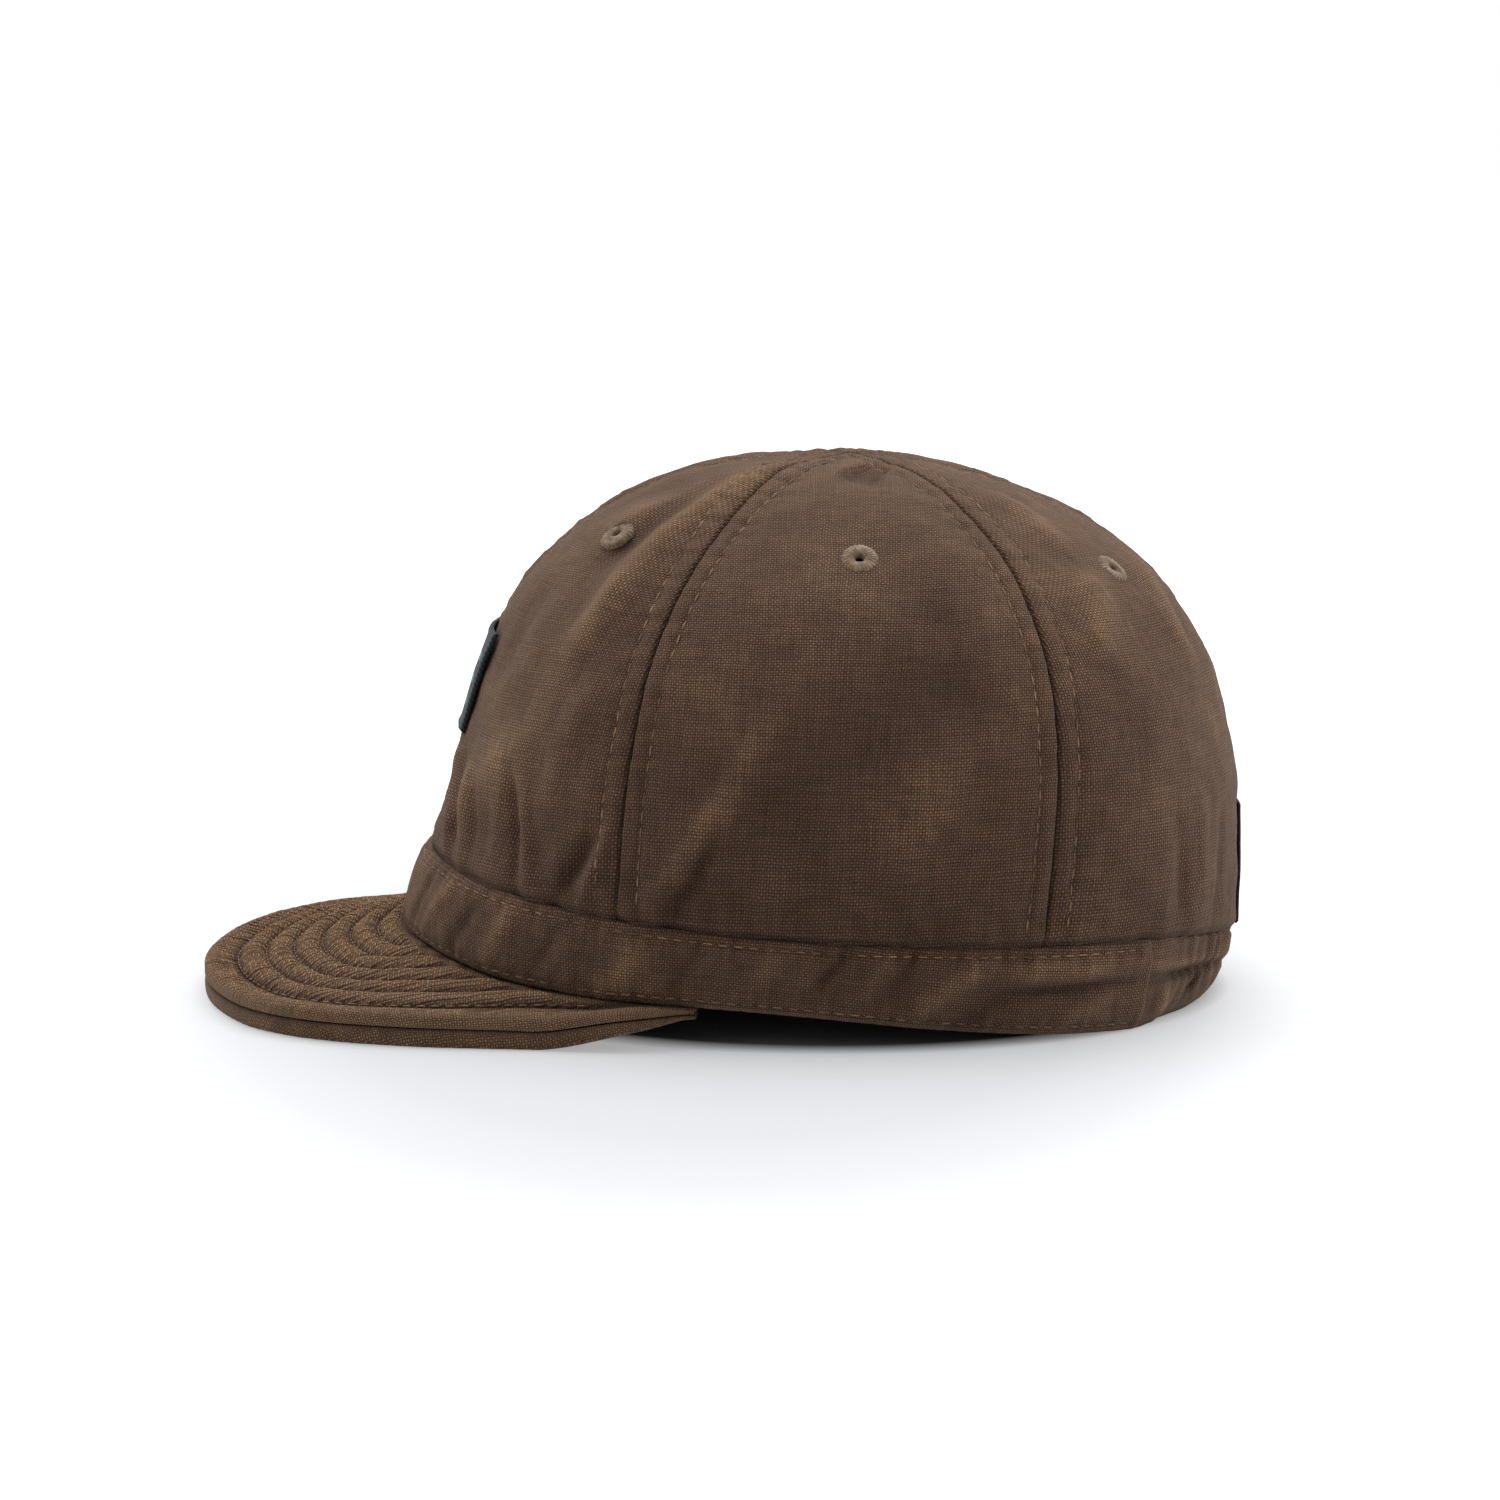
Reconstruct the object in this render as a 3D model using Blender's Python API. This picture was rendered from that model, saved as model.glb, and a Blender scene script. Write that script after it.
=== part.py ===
# Short-brim cap of washed canvas: six soft panels, a folded band and a quilted brim.
# It lies on a flat surface under its own weight. Metres, +Z up, brim towards -Y, and the
# wearer's left towards +X. The origin is under the middle of the cap, on that surface.

import math
from collections import namedtuple

import bmesh
import bpy
from mathutils import Vector

# Driving dimensions
CROWN_LENGTH = 0.203        # front to back of the crown, at the band
CROWN_WIDTH = 0.168         # left to right, where the soft crown bulges most
CROWN_HEIGHT = 0.1305       # the surface to the top of the crown
CROWN_LEAN = 0.009          # how far the crown's axis leans back over its height
LEAN_PIVOT = 0.42           # share of the height at which the axis is at its middle place
AXIS_BACK = 0.0010          # that place behind the middle of the brim's length
BRIM_LENGTH = 0.0490        # front of the band to the brim's front edge
BRIM_EDGE = 0.008           # thickness of the padded brim at its edge
BRIM_LIP = 0.0045           # height of the under cover's lip
BRIM_SHELL = 0.0020         # under cover's wall
BRIM_INSET = 0.0012         # how far the parting between the covers lies inside the edge
BRIM_FOOT = 0.0030          # how far in the flattened lip ends
BRIM_DISH = 1.3             # 1 for a brim that rises evenly to the band, more for a dish
EDGE_TURN = 0.86            # share of the edge's height where the outer roll turns down
LIP_TOP = 0.78              # shares of the lip's height between which its face is upright
LIP_BOTTOM = 0.25
ROLL_ROUND = 0.7            # 1 for a wave, less for fuller rolls with sharper grooves
ROLL_HEIGHT = 0.0015        # how far a quilted roll stands up
ROLLS = 7                   # rows of quilting, from the band to the edge
HEM_HEIGHT = 0.0158         # the band's lower edge above the surface, at the front
BAND_HEIGHT = 0.0204        # the band from hem to seam, at the front
BAND_WALL = 0.0022          # folded canvas of the band
BAND_PROUD = 0.0009         # the band stands out from the panels
BAND_ROUNDING = 0.6         # share of that lost at its rounded hem and seam
CLOTH = 0.0015              # one panel's canvas
FOLD_HEIGHT = 0.0024        # how far the strongest soft folds stand up
SEAM_DIP = 0.0008           # how far the panels dip at a seam
SEAM_DIP_REACH = 0.0060     # and how far from the seam the dip begins
SEAM_HOLD = 0.35            # share of the folds left where the band holds the panels
GAP = 0.0003                # clearance between neighbouring pieces
CROWN_HOLE = 0.0008         # radius at which the panel tips stop, at the top
EYELET_RADIUS = 0.0044      # outside of an embroidered vent ring
EYELET_BORE = 0.0012        # its hole
EYELET_RISE = 0.0005        # how far its thread stands out
EYELET_SIDES = 10           # corners of its round outline
PLEAT_PITCH = 0.0060        # from one gather of the elastic to the next
PLEAT_DEPTH = 0.0007        # how far a gather stands out
TUCK_DEPTH = 0.0030         # how far the elastic's foot is tucked inwards
CREASE_DEPTH = 0.0011       # the crease above the tuck
CREASE_PLACE = 0.55         # its place, from 0 at the hem to 1 at the seam
PATCH_WIDTH = 0.040         # the front patch
PATCH_HEIGHT = 0.024
PATCH_BASE = 0.064          # its lower edge above the surface
PATCH_THICKNESS = 0.0012
LABEL_WIDTH = 0.014         # the tab at the back
LABEL_HEIGHT = 0.030
LABEL_ABOVE_SEAM = 0.0020   # its lower edge above the band's seam
LABEL_THICKNESS = 0.0008

# Turns are degrees about the crown's upright axis, from 0 at the front to 180 at the back.
FRONT_SEAM = 57.0           # between front and side panels
BACK_SEAM = 124.5           # between side and back panels
ELASTIC_START = 143.0       # where the band's hem ends and the elastic begins
BRIM_TIP = 70.0             # where the brim runs out against the band

# What follows from them
AXIS_Y = BRIM_LENGTH / 2 + AXIS_BACK
HALF_LENGTH = CROWN_LENGTH / 2
HALF_WIDTH = CROWN_WIDTH / 2

# The crown's rings, from the surface up. rise is the angle whose sine gives the height as
# a share of CROWN_HEIGHT; front and back are shares of HALF_LENGTH and side is one of
# HALF_WIDTH; fullness is 2 for an ellipse and more for a squarer ring.
Ring = namedtuple("Ring", "rise front back side fullness")
CROWN_RINGS = [
    Ring(0, 0.985, 0.990, 0.945, 2.20),
    Ring(10, 0.985, 1.015, 0.970, 2.20),
    Ring(20, 0.920, 0.998, 0.997, 2.20),
    Ring(30, 0.877, 0.950, 0.995, 2.20),
    Ring(40, 0.830, 0.879, 0.945, 2.18),
    Ring(50, 0.759, 0.766, 0.840, 2.15),
    Ring(60, 0.638, 0.601, 0.680, 2.12),
    Ring(70, 0.492, 0.399, 0.490, 2.08),
    Ring(80, 0.310, 0.190, 0.265, 2.04),
    Ring(90, 0.000, 0.000, 0.000, 2.00),
]

# The band's course round the crown: hem is a share of HEM_HEIGHT, and tall a share of
# BAND_HEIGHT.
Course = namedtuple("Course", "turn hem tall")
BAND_COURSE = [
    Course(0, 1.000, 1.000),
    Course(20, 0.960, 0.990),
    Course(38, 0.760, 1.010),
    Course(55, 0.655, 0.945),
    Course(72, 0.600, 0.875),
    Course(90, 0.475, 0.880),
    Course(110, 0.270, 0.970),
    Course(128, 0.100, 1.040),
    Course(145, 0.000, 1.060),
    Course(165, 0.000, 0.880),
    Course(180, 0.000, 0.660),
]

# The brim's ribs, each springing from the band: reach is a share of BRIM_LENGTH, heading
# the degrees off straight ahead, lift how high the edge is off the surface, as a share of
# HEM_HEIGHT, and edge a share of BRIM_EDGE.
Rib = namedtuple("Rib", "turn reach heading lift edge")
BRIM_RIBS = [
    Rib(0, 1.000, 0.0, 0.00, 1.00),
    Rib(10, 0.995, 2.2, 0.00, 1.00),
    Rib(20, 1.002, 4.6, 0.00, 1.00),
    Rib(30, 1.000, 8.8, 0.00, 1.00),
    Rib(38, 0.920, 12.0, 0.00, 1.00),
    Rib(45, 0.655, 19.2, 0.00, 1.00),
    Rib(55, 0.350, 24.0, 0.00, 0.95),
    Rib(63, 0.190, 38.0, 0.26, 0.70),
    Rib(70, 0.085, 68.0, 0.45, 0.34),
]
COVER_STATIONS = (0.66, 0.33)   # shares across the brim at which its plain faces bend

# The vents, one in each panel: the seams beside it, and its own turn and rise.
Vent = namedtuple("Vent", "panel first_seam last_seam turn rise")
VENTS = [
    Vent("front", 0.0, FRONT_SEAM, 32.0, 60.0),
    Vent("side", FRONT_SEAM, BACK_SEAM, 92.0, 58.0),
    Vent("back", BACK_SEAM, 180.0, 151.0, 54.0),
]

# Soft folds of the crown, the left side's first. Each runs from one turn and rise to
# another; reach is its half width as a share of CROWN_HEIGHT, lift its height as a share
# of FOLD_HEIGHT (negative for a dent), and bow how far it bends aside, as a share of its
# length.
Fold = namedtuple("Fold", "turn_a rise_a turn_b rise_b reach lift bow")
CROWN_FOLDS = [
    Fold(50, 80, 28, 61, 0.050, 0.80, 0.04),
    Fold(44, 74, 36, 56, 0.035, -0.70, 0.00),
    Fold(53, 74, 44, 48, 0.040, 0.85, -0.06),
    Fold(45, 53, 41, 42, 0.035, 0.60, 0.00),
    Fold(24, 50, 22, 38, 0.045, -0.45, 0.00),
    Fold(38, 33, 20, 22, 0.050, 0.80, 0.05),
    Fold(47, 38, 43, 24, 0.035, 0.55, 0.00),
    Fold(37, 25, 39, 15, 0.024, -1.40, 0.00),
    Fold(33, 24, 31, 15, 0.026, 0.90, 0.00),
    Fold(23, 22, 22, 15, 0.024, -0.80, 0.00),
    Fold(45, 22, 47, 15, 0.026, 0.90, 0.00),
    Fold(71, 27, 64, 17, 0.035, 0.90, 0.00),
    Fold(82, 20, 80, 13, 0.030, 0.70, 0.00),
    Fold(104, 44, 76, 24, 0.090, -0.70, 0.05),
    Fold(90, 79, 104, 77, 0.060, -1.00, 0.00),
    Fold(112, 34, 100, 20, 0.060, 0.60, 0.00),
    Fold(142, 69, 140, 59, 0.035, 0.60, 0.00),
    Fold(140, 53, 135, 43, 0.040, 0.60, 0.00),
    Fold(164, 54, 156, 41, 0.042, 0.80, -0.10),
    Fold(146, 20, 149, 10, 0.030, -0.90, 0.00),
    Fold(159, 19, 157, 10, 0.030, -0.80, 0.00),
    Fold(153, 18, 153, 10, 0.030, 0.60, 0.00),
    Fold(-48, 78, -30, 58, 0.050, 0.70, -0.04),
    Fold(-40, 70, -36, 52, 0.040, -0.70, 0.00),
    Fold(-46, 56, -40, 38, 0.045, 0.70, 0.05),
    Fold(-22, 36, -36, 24, 0.050, 0.70, -0.05),
    Fold(-28, 24, -29, 15, 0.024, -1.10, 0.00),
    Fold(-36, 23, -37, 15, 0.026, 0.80, 0.00),
    Fold(-44, 24, -46, 15, 0.026, -0.90, 0.00),
    Fold(-66, 19, -74, 29, 0.040, 0.80, 0.00),
    Fold(-78, 26, -102, 42, 0.090, -0.70, -0.05),
    Fold(-88, 78, -106, 76, 0.060, -0.80, 0.00),
    Fold(-112, 20, -104, 34, 0.060, 0.60, 0.00),
    Fold(-138, 64, -143, 50, 0.042, 0.70, 0.00),
    Fold(-160, 52, -154, 38, 0.045, 0.70, 0.08),
    Fold(-148, 19, -146, 10, 0.030, -0.80, 0.00),
    Fold(-163, 18, -161, 10, 0.030, -0.70, 0.00),
]


def read(table, column, key, level_ends=False):
    """Smooth value of a table's column, where its first column equals key."""
    keys = [row[0] for row in table]
    values = [getattr(row, column) for row in table]
    key = min(max(key, keys[0]), keys[-1])
    low = max(place for place in range(len(keys) - 1) if keys[place] <= key)
    slopes = []
    for place in (low, low + 1):
        before = max(place - 1, 0)
        after = min(place + 1, len(keys) - 1)
        slope = (values[after] - values[before]) / (keys[after] - keys[before])
        if level_ends and before == place or level_ends and after == place:
            slope = 0.0
        slopes.append(slope)
    span = keys[low + 1] - keys[low]
    share = (key - keys[low]) / span
    return (
        (2 * share**3 - 3 * share**2 + 1) * values[low]
        + (share**3 - 2 * share**2 + share) * span * slopes[0]
        + (3 * share**2 - 2 * share**3) * values[low + 1]
        + (share**3 - share**2) * span * slopes[1]
    )


def ease(value, start, end):
    """0 before start, 1 after end, and smooth between."""
    share = min(max((value - start) / (end - start), 0.0), 1.0)
    return share * share * (3 - 2 * share)


def rise_at(height):
    return math.degrees(math.asin(min(max(height / CROWN_HEIGHT, -1.0), 1.0)))


def hem_height(turn):
    return HEM_HEIGHT * max(read(BAND_COURSE, "hem", abs(turn), level_ends=True), 0.0)


def seam_height(turn):
    return hem_height(turn) + BAND_HEIGHT * read(BAND_COURSE, "tall", abs(turn), level_ends=True)


def ring_radius(turn, rise):
    """Distance of the smooth crown from its axis."""
    angle = math.radians(turn)
    end = "front" if math.cos(angle) > 0 else "back"
    long_half = max(HALF_LENGTH * read(CROWN_RINGS, end, rise), 1e-6)
    side_half = max(HALF_WIDTH * read(CROWN_RINGS, "side", rise), 1e-6)
    fullness = read(CROWN_RINGS, "fullness", rise)
    along = abs(math.cos(angle) / long_half) ** fullness
    across = abs(math.sin(angle) / side_half) ** fullness
    return (along + across) ** (-1 / fullness)


def smooth_crown(turn, rise):
    radius = ring_radius(turn, rise)
    angle = math.radians(turn)
    height = CROWN_HEIGHT * math.sin(math.radians(rise))
    axis_y = AXIS_Y + CROWN_LEAN * (height / CROWN_HEIGHT - LEAN_PIVOT)
    return Vector((radius * math.sin(angle), axis_y - radius * math.cos(angle), height))


def crown_normal(turn, rise):
    step = 0.5
    round_it = smooth_crown(turn + step, rise) - smooth_crown(turn - step, rise)
    top = min(rise + step, 89.9)
    up_it = smooth_crown(turn, top) - smooth_crown(turn, top - 2 * step)
    return round_it.cross(up_it).normalized()


def seam_dip(turn, rise):
    seams = (0.0, FRONT_SEAM, BACK_SEAM, 180.0)
    away = min(abs(abs(turn) - seam) for seam in seams)
    distance = math.radians(away) * ring_radius(turn, rise)
    return -SEAM_DIP * math.exp(-(distance / SEAM_DIP_REACH) ** 2)


def fold_lift(turn, rise):
    """Sum of the soft folds at a place on the crown."""
    round_scale = math.radians(1.0) * ring_radius(turn, rise)
    up_scale = math.radians(1.0) * (CROWN_HEIGHT + HALF_WIDTH) / 2
    total = 0.0
    for fold in CROWN_FOLDS:
        run = Vector(((fold.turn_b - fold.turn_a) * round_scale, (fold.rise_b - fold.rise_a) * up_scale))
        here = Vector(((turn - fold.turn_a) * round_scale, (rise - fold.rise_a) * up_scale))
        length = run.length
        along = here.dot(run) / length**2
        aside = (run.x * here.y - run.y * here.x) / length
        aside -= fold.bow * length * (1 - (2 * along - 1) ** 2)
        reach = fold.reach * CROWN_HEIGHT
        fade = ease(along, -0.25, 0.2) * (1 - ease(along, 0.8, 1.25))
        total += fold.lift * FOLD_HEIGHT * fade * math.exp(-(aside / reach) ** 2)
    return total


def crown_face(turn, rise, depth=0.0):
    """A point of the crown's cloth, depth inside its outer face."""
    lift = seam_dip(turn, rise) + fold_lift(turn, rise)
    height = CROWN_HEIGHT * math.sin(math.radians(rise))
    clear_of_seam = ease(height - seam_height(turn), 0.0, BAND_HEIGHT / 2)
    normal = crown_normal(turn, rise)
    normal.z *= clear_of_seam
    lift *= SEAM_HOLD + (1 - SEAM_HOLD) * clear_of_seam
    return smooth_crown(turn, rise) + normal.normalized() * (lift - depth)


def finish(node, color, roughness):
    """A plain material of the node's own."""
    material = bpy.data.materials.new(node.name + "_finish")
    material.use_nodes = True
    shader = material.node_tree.nodes["Principled BSDF"]
    shader.inputs["Base Color"].default_value = (*color, 1.0)
    shader.inputs["Roughness"].default_value = roughness
    shader.inputs["Metallic"].default_value = 0.0
    node.data.materials.append(material)
    return node


CANVAS = (0.090, 0.058, 0.038)
THREAD = (0.130, 0.090, 0.062)
PATCH_CLOTH = (0.010, 0.016, 0.022)
LABEL_CLOTH = (0.020, 0.014, 0.012)


def node_from(mesh, name, color, roughness=0.9):
    bmesh.ops.recalc_face_normals(mesh, faces=mesh.faces[:])
    if mesh.calc_volume(signed=True) < 0:
        bmesh.ops.reverse_faces(mesh, faces=mesh.faces[:])
    data = bpy.data.meshes.new(name)
    mesh.to_mesh(data)
    mesh.free()
    data.shade_smooth()
    data.set_sharp_from_angle(angle=math.radians(50))
    node = bpy.data.objects.new(name, data)
    bpy.context.scene.collection.objects.link(node)
    return finish(node, color, roughness)


def wall(columns, rows, outer_face, inner_face):
    """A closed wall between two faces, each a function of across and up, from 0 to 1."""
    mesh = bmesh.new()
    bmesh.ops.create_grid(mesh, x_segments=columns, y_segments=rows, size=0.5)
    rim = [tuple(edge.verts) for edge in mesh.edges if edge.is_boundary]
    copies = bmesh.ops.duplicate(mesh, geom=mesh.verts[:] + mesh.edges[:] + mesh.faces[:])
    twin = copies["vert_map"]
    copied = set(copies["geom"])
    outer = [vert for vert in mesh.verts if vert not in copied]
    bmesh.ops.reverse_faces(mesh, faces=[face for face in mesh.faces if face in copied])
    for first, second in rim:
        mesh.faces.new((second, first, twin[first], twin[second]))
    for vert in outer:
        across = vert.co.x + 0.5
        up = vert.co.y + 0.5
        twin[vert].co = inner_face(across, up)
        vert.co = outer_face(across, up)
    return mesh


def loft(rings):
    """A closed solid through rings of points, with flat ends."""
    mesh = bmesh.new()
    loops = [[mesh.verts.new(point) for point in ring] for ring in rings]
    for near, far in zip(loops, loops[1:]):
        for place, corner in enumerate(near):
            after = (place + 1) % len(near)
            mesh.faces.new((corner, near[after], far[after], far[place]))
    mesh.faces.new(loops[0])
    mesh.faces.new(loops[-1])
    return mesh


def cut_hole(node, centre, axis, radius, depth):
    """Bore a round hole through a node."""
    mesh = bmesh.new()
    bmesh.ops.create_cone(
        mesh, cap_ends=True, segments=EYELET_SIDES, radius1=radius, radius2=radius, depth=depth
    )
    data = bpy.data.meshes.new(node.name + "_cutter")
    mesh.to_mesh(data)
    mesh.free()
    cutter = bpy.data.objects.new(node.name + "_cutter", data)
    cutter.location = centre
    cutter.rotation_euler = axis.to_track_quat("Z", "Y").to_euler()
    cutter.hide_render = True
    cutter.display_type = "WIRE"
    bpy.context.scene.collection.objects.link(cutter)
    hole = node.modifiers.new("vent", "BOOLEAN")
    hole.operation = "DIFFERENCE"
    hole.solver = "EXACT"
    hole.object = cutter


def crown_panel(name, first_seam, last_seam, eyelet_turn, eyelet_rise):
    """One gore of the crown, from the band's seam to its tip, with its vent hole."""
    columns = 10
    rows = 12
    top_rise = 89.4

    def place(across, up, depth):
        middle = first_seam + (last_seam - first_seam) * across
        low_rise = rise_at(seam_height(middle) + GAP / 2)
        rise = low_rise + (top_rise - low_rise) * up
        radius = ring_radius(middle, rise)
        slip = math.degrees(GAP / 2 / max(radius, CROWN_HOLE))
        slip = math.copysign(slip, last_seam - first_seam)
        turn = first_seam + slip + (last_seam - first_seam - 2 * slip) * across
        low_rise = rise_at(seam_height(turn) + GAP / 2)
        rise = low_rise + (top_rise - low_rise) * up
        return crown_face(turn, rise, depth)

    mesh = wall(
        columns, rows, lambda across, up: place(across, up, 0.0),
        lambda across, up: place(across, up, CLOTH),
    )
    bmesh.ops.remove_doubles(mesh, verts=mesh.verts[:], dist=CROWN_HOLE / 2)
    panel = node_from(mesh, name, CANVAS)
    centre = crown_face(eyelet_turn, eyelet_rise, CLOTH / 2)
    axis = crown_normal(eyelet_turn, eyelet_rise)
    hole_radius = (EYELET_RADIUS + GAP) / math.cos(math.pi / EYELET_SIDES)
    cut_hole(panel, centre, axis, hole_radius, CLOTH * 5)
    return panel


def eyelet(name, turn, rise):
    """An embroidered ring, filling its hole and standing a little out of both faces."""
    half = CLOTH / 2 + EYELET_RISE
    profile = [
        (EYELET_BORE, -half * 0.6),
        (EYELET_BORE, half * 0.6),
        ((EYELET_BORE + EYELET_RADIUS) / 2, half),
        (EYELET_RADIUS, half * 0.5),
        (EYELET_RADIUS, -half * 0.5),
        ((EYELET_BORE + EYELET_RADIUS) / 2, -half),
    ]
    mesh = bmesh.new()
    corners = [mesh.verts.new((radius, 0.0, height)) for radius, height in profile]
    edges = [mesh.edges.new((corners[place - 1], corners[place])) for place in range(len(corners))]
    bmesh.ops.spin(
        mesh, geom=corners + edges, cent=(0, 0, 0), axis=(0, 0, 1),
        angle=2 * math.pi, steps=EYELET_SIDES, use_merge=True,
    )
    ring = node_from(mesh, name, THREAD)
    ring.location = crown_face(turn, rise, CLOTH / 2)
    ring.rotation_euler = crown_normal(turn, rise).to_track_quat("Z", "Y").to_euler()
    return ring


def band_face(turn, share, depth=0.0):
    """A point of the band's cloth; share runs from 0 at the hem to 1 at the seam."""
    hem = hem_height(turn)
    top = seam_height(turn) - GAP / 2
    height = hem + (top - hem) * share
    rounded_top = 1 - BAND_ROUNDING * ease(share, 0.75, 1.0)
    rounded_hem = 1 - BAND_ROUNDING * (1 - ease(share, 0.0, 0.25))
    shoulder = BAND_PROUD * rounded_top * rounded_hem
    normal = crown_normal(turn, rise_at(height))
    normal.z = 0.0
    point = smooth_crown(turn, rise_at(height)) + normal.normalized() * (shoulder - depth)
    point.z = height
    return point


def front_band():
    """The folded band, round the front from one end of the elastic to the other."""
    columns = 54
    rows = 5
    reach = ELASTIC_START - math.degrees(GAP / 2 / HALF_LENGTH)

    def outer(across, up):
        return band_face(reach * (2 * across - 1), up)

    def inner(across, up):
        return band_face(reach * (2 * across - 1), up, BAND_WALL)

    return node_from(wall(columns, rows, outer, inner), "band", CANVAS)


def elastic_band():
    """The gathered back of the band, with a crease half way up and its foot tucked in."""
    rows = 6
    start = ELASTIC_START + math.degrees(GAP / 2 / HALF_LENGTH)
    arc = math.radians(180 - start) * HALF_LENGTH
    pleats = 2 * round(arc / PLEAT_PITCH)

    def place(across, up, depth):
        turn = start + (360 - 2 * start) * across
        signed = turn if turn <= 180 else turn - 360
        middle = 1 - abs(2 * across - 1)
        point = band_face(signed, up, 0.0)
        gather = PLEAT_DEPTH * math.cos(2 * math.pi * pleats * across) * ease(middle, 0.0, 0.06)
        crease = -CREASE_DEPTH * math.exp(-((up - CREASE_PLACE) / 0.09) ** 2)
        foot = -TUCK_DEPTH * (1 - ease(up, 0.0, CREASE_PLACE)) * ease(middle, 0.0, 0.25)
        normal = crown_normal(signed, rise_at(point.z))
        normal.z = 0.0
        lean = gather * ease(up, 0.0, 0.3) + crease * ease(middle, 0.0, 0.25) + foot
        return point + normal.normalized() * (lean - BAND_PROUD - depth)

    def outer(across, up):
        return place(across, up, 0.0)

    def inner(across, up):
        return place(across, up, BAND_WALL)

    return node_from(wall(pleats * 2, rows, outer, inner), "band_back", CANVAS)


BRIM_TUCK = BAND_PROUD + CLOTH / 2      # how far the brim reaches in under the band


def brim_rib(turn):
    """Where a rib of the brim starts under the band, where it ends, and its heights."""
    side = 1 if turn >= 0 else -1
    key = abs(turn)
    heading = math.radians(read(BRIM_RIBS, "heading", key)) * side
    way = Vector((math.sin(heading), -math.cos(heading), 0.0))
    springing = band_face(turn, 0.0)
    springing.z = 0.0
    start = springing - way * BRIM_TUCK
    end = springing + way * BRIM_LENGTH * read(BRIM_RIBS, "reach", key, level_ends=True)
    lift = HEM_HEIGHT * max(read(BRIM_RIBS, "lift", key, level_ends=True), 0.0)
    edge = BRIM_EDGE * read(BRIM_RIBS, "edge", key, level_ends=True)
    return start, end, lift, edge


def brim_top(share, length, turn, lift, edge):
    """Height of the quilted face; share runs from 0 under the band to 1 at the edge."""
    roll = ROLL_HEIGHT * edge / BRIM_EDGE
    inner = hem_height(turn) - GAP
    outer = lift + edge - roll
    slope = outer + (inner - outer) * (1 - share) ** BRIM_DISH
    tucked = BRIM_TUCK / length
    shown = max(share - tucked, 0.0) / (1 - tucked)
    return slope + roll * abs(math.sin(math.pi * ROLLS * shown)) ** ROLL_ROUND


def brim_middle(share, turn, lift, edge):
    """Height of the parting between the two covers."""
    outer = lift + BRIM_LIP * edge / BRIM_EDGE
    inner = hem_height(turn) - GAP - (ROLL_HEIGHT + BRIM_SHELL) * edge / BRIM_EDGE
    return outer + (inner - outer) * (1 - share) ** BRIM_DISH


def brim_sole(share, turn, lift, edge):
    """Height of the under cover's lower face."""
    shell = BRIM_SHELL * edge / BRIM_EDGE
    middle = brim_middle(share, turn, lift, edge)
    return min(max(middle - shell, lift), middle - shell / 2)


def brim_turns():
    stations = 38
    return [BRIM_TIP * (2 * place / stations - 1) for place in range(stations + 1)]


def brim_upper():
    """The quilted cover: concentric rolls above, its edge rolled over the padding."""
    steps = 3
    rings = []
    for turn in brim_turns():
        start, end, lift, edge = brim_rib(turn)
        along = end - start
        ring = []
        for place in range(ROLLS * steps):
            share = place / (ROLLS * steps)
            point = start + along * share
            point.z = brim_top(share, along.length, turn, lift, edge)
            ring.append(point)
        lip = BRIM_LIP * edge / BRIM_EDGE
        for height in (EDGE_TURN * edge, (edge + lip) / 2):
            point = end.copy()
            point.z = lift + height
            ring.append(point)
        inner_share = 1 - BRIM_INSET / along.length
        for share in (inner_share, *COVER_STATIONS, 0.0):
            point = start + along * min(share, inner_share)
            point.z = brim_middle(share, turn, lift, edge) + GAP / 2
            ring.append(point)
        rings.append(ring)
    return node_from(loft(rings), "brim_upper", CANVAS)


def brim_under():
    """The under cover, with the lip that lies on the surface."""
    rings = []
    for turn in brim_turns():
        start, end, lift, edge = brim_rib(turn)
        along = end - start
        lip = BRIM_LIP * edge / BRIM_EDGE
        inner_share = 1 - BRIM_INSET / along.length
        foot_share = max(1 - BRIM_FOOT / along.length, inner_share / 2)
        ring = []
        for share in (0.0, *reversed(COVER_STATIONS), inner_share):
            point = start + along * min(share, inner_share)
            point.z = brim_middle(share, turn, lift, edge) - GAP / 2
            ring.append(point)
        for share, height in ((1, LIP_TOP), (1, LIP_BOTTOM), (inner_share, 0), (foot_share, 0)):
            point = start + along * share
            point.z = lift + height * lip
            ring.append(point)
        sole_share = min(COVER_STATIONS[0], 0.9 * foot_share)
        for station in (*COVER_STATIONS, 0.0):
            share = sole_share * station / COVER_STATIONS[0]
            point = start + along * share
            point.z = brim_sole(share, turn, lift, edge)
            ring.append(point)
        rings.append(ring)
    return node_from(loft(rings), "brim_under", CANVAS)


def sewn_flat(name, middle_turn, width, base, height, thickness, color):
    """A thin piece of cloth sewn on the outside of the crown."""
    columns = 6
    rows = 4

    def place(across, up, lift):
        level = base + height * up
        rise = rise_at(level)
        turn = middle_turn + math.degrees((across - 0.5) * width / ring_radius(middle_turn, rise))
        return crown_face(turn, rise, -lift)

    mesh = wall(
        columns, rows, lambda across, up: place(across, up, GAP + thickness),
        lambda across, up: place(across, up, GAP),
    )
    return node_from(mesh, name, color)


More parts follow.
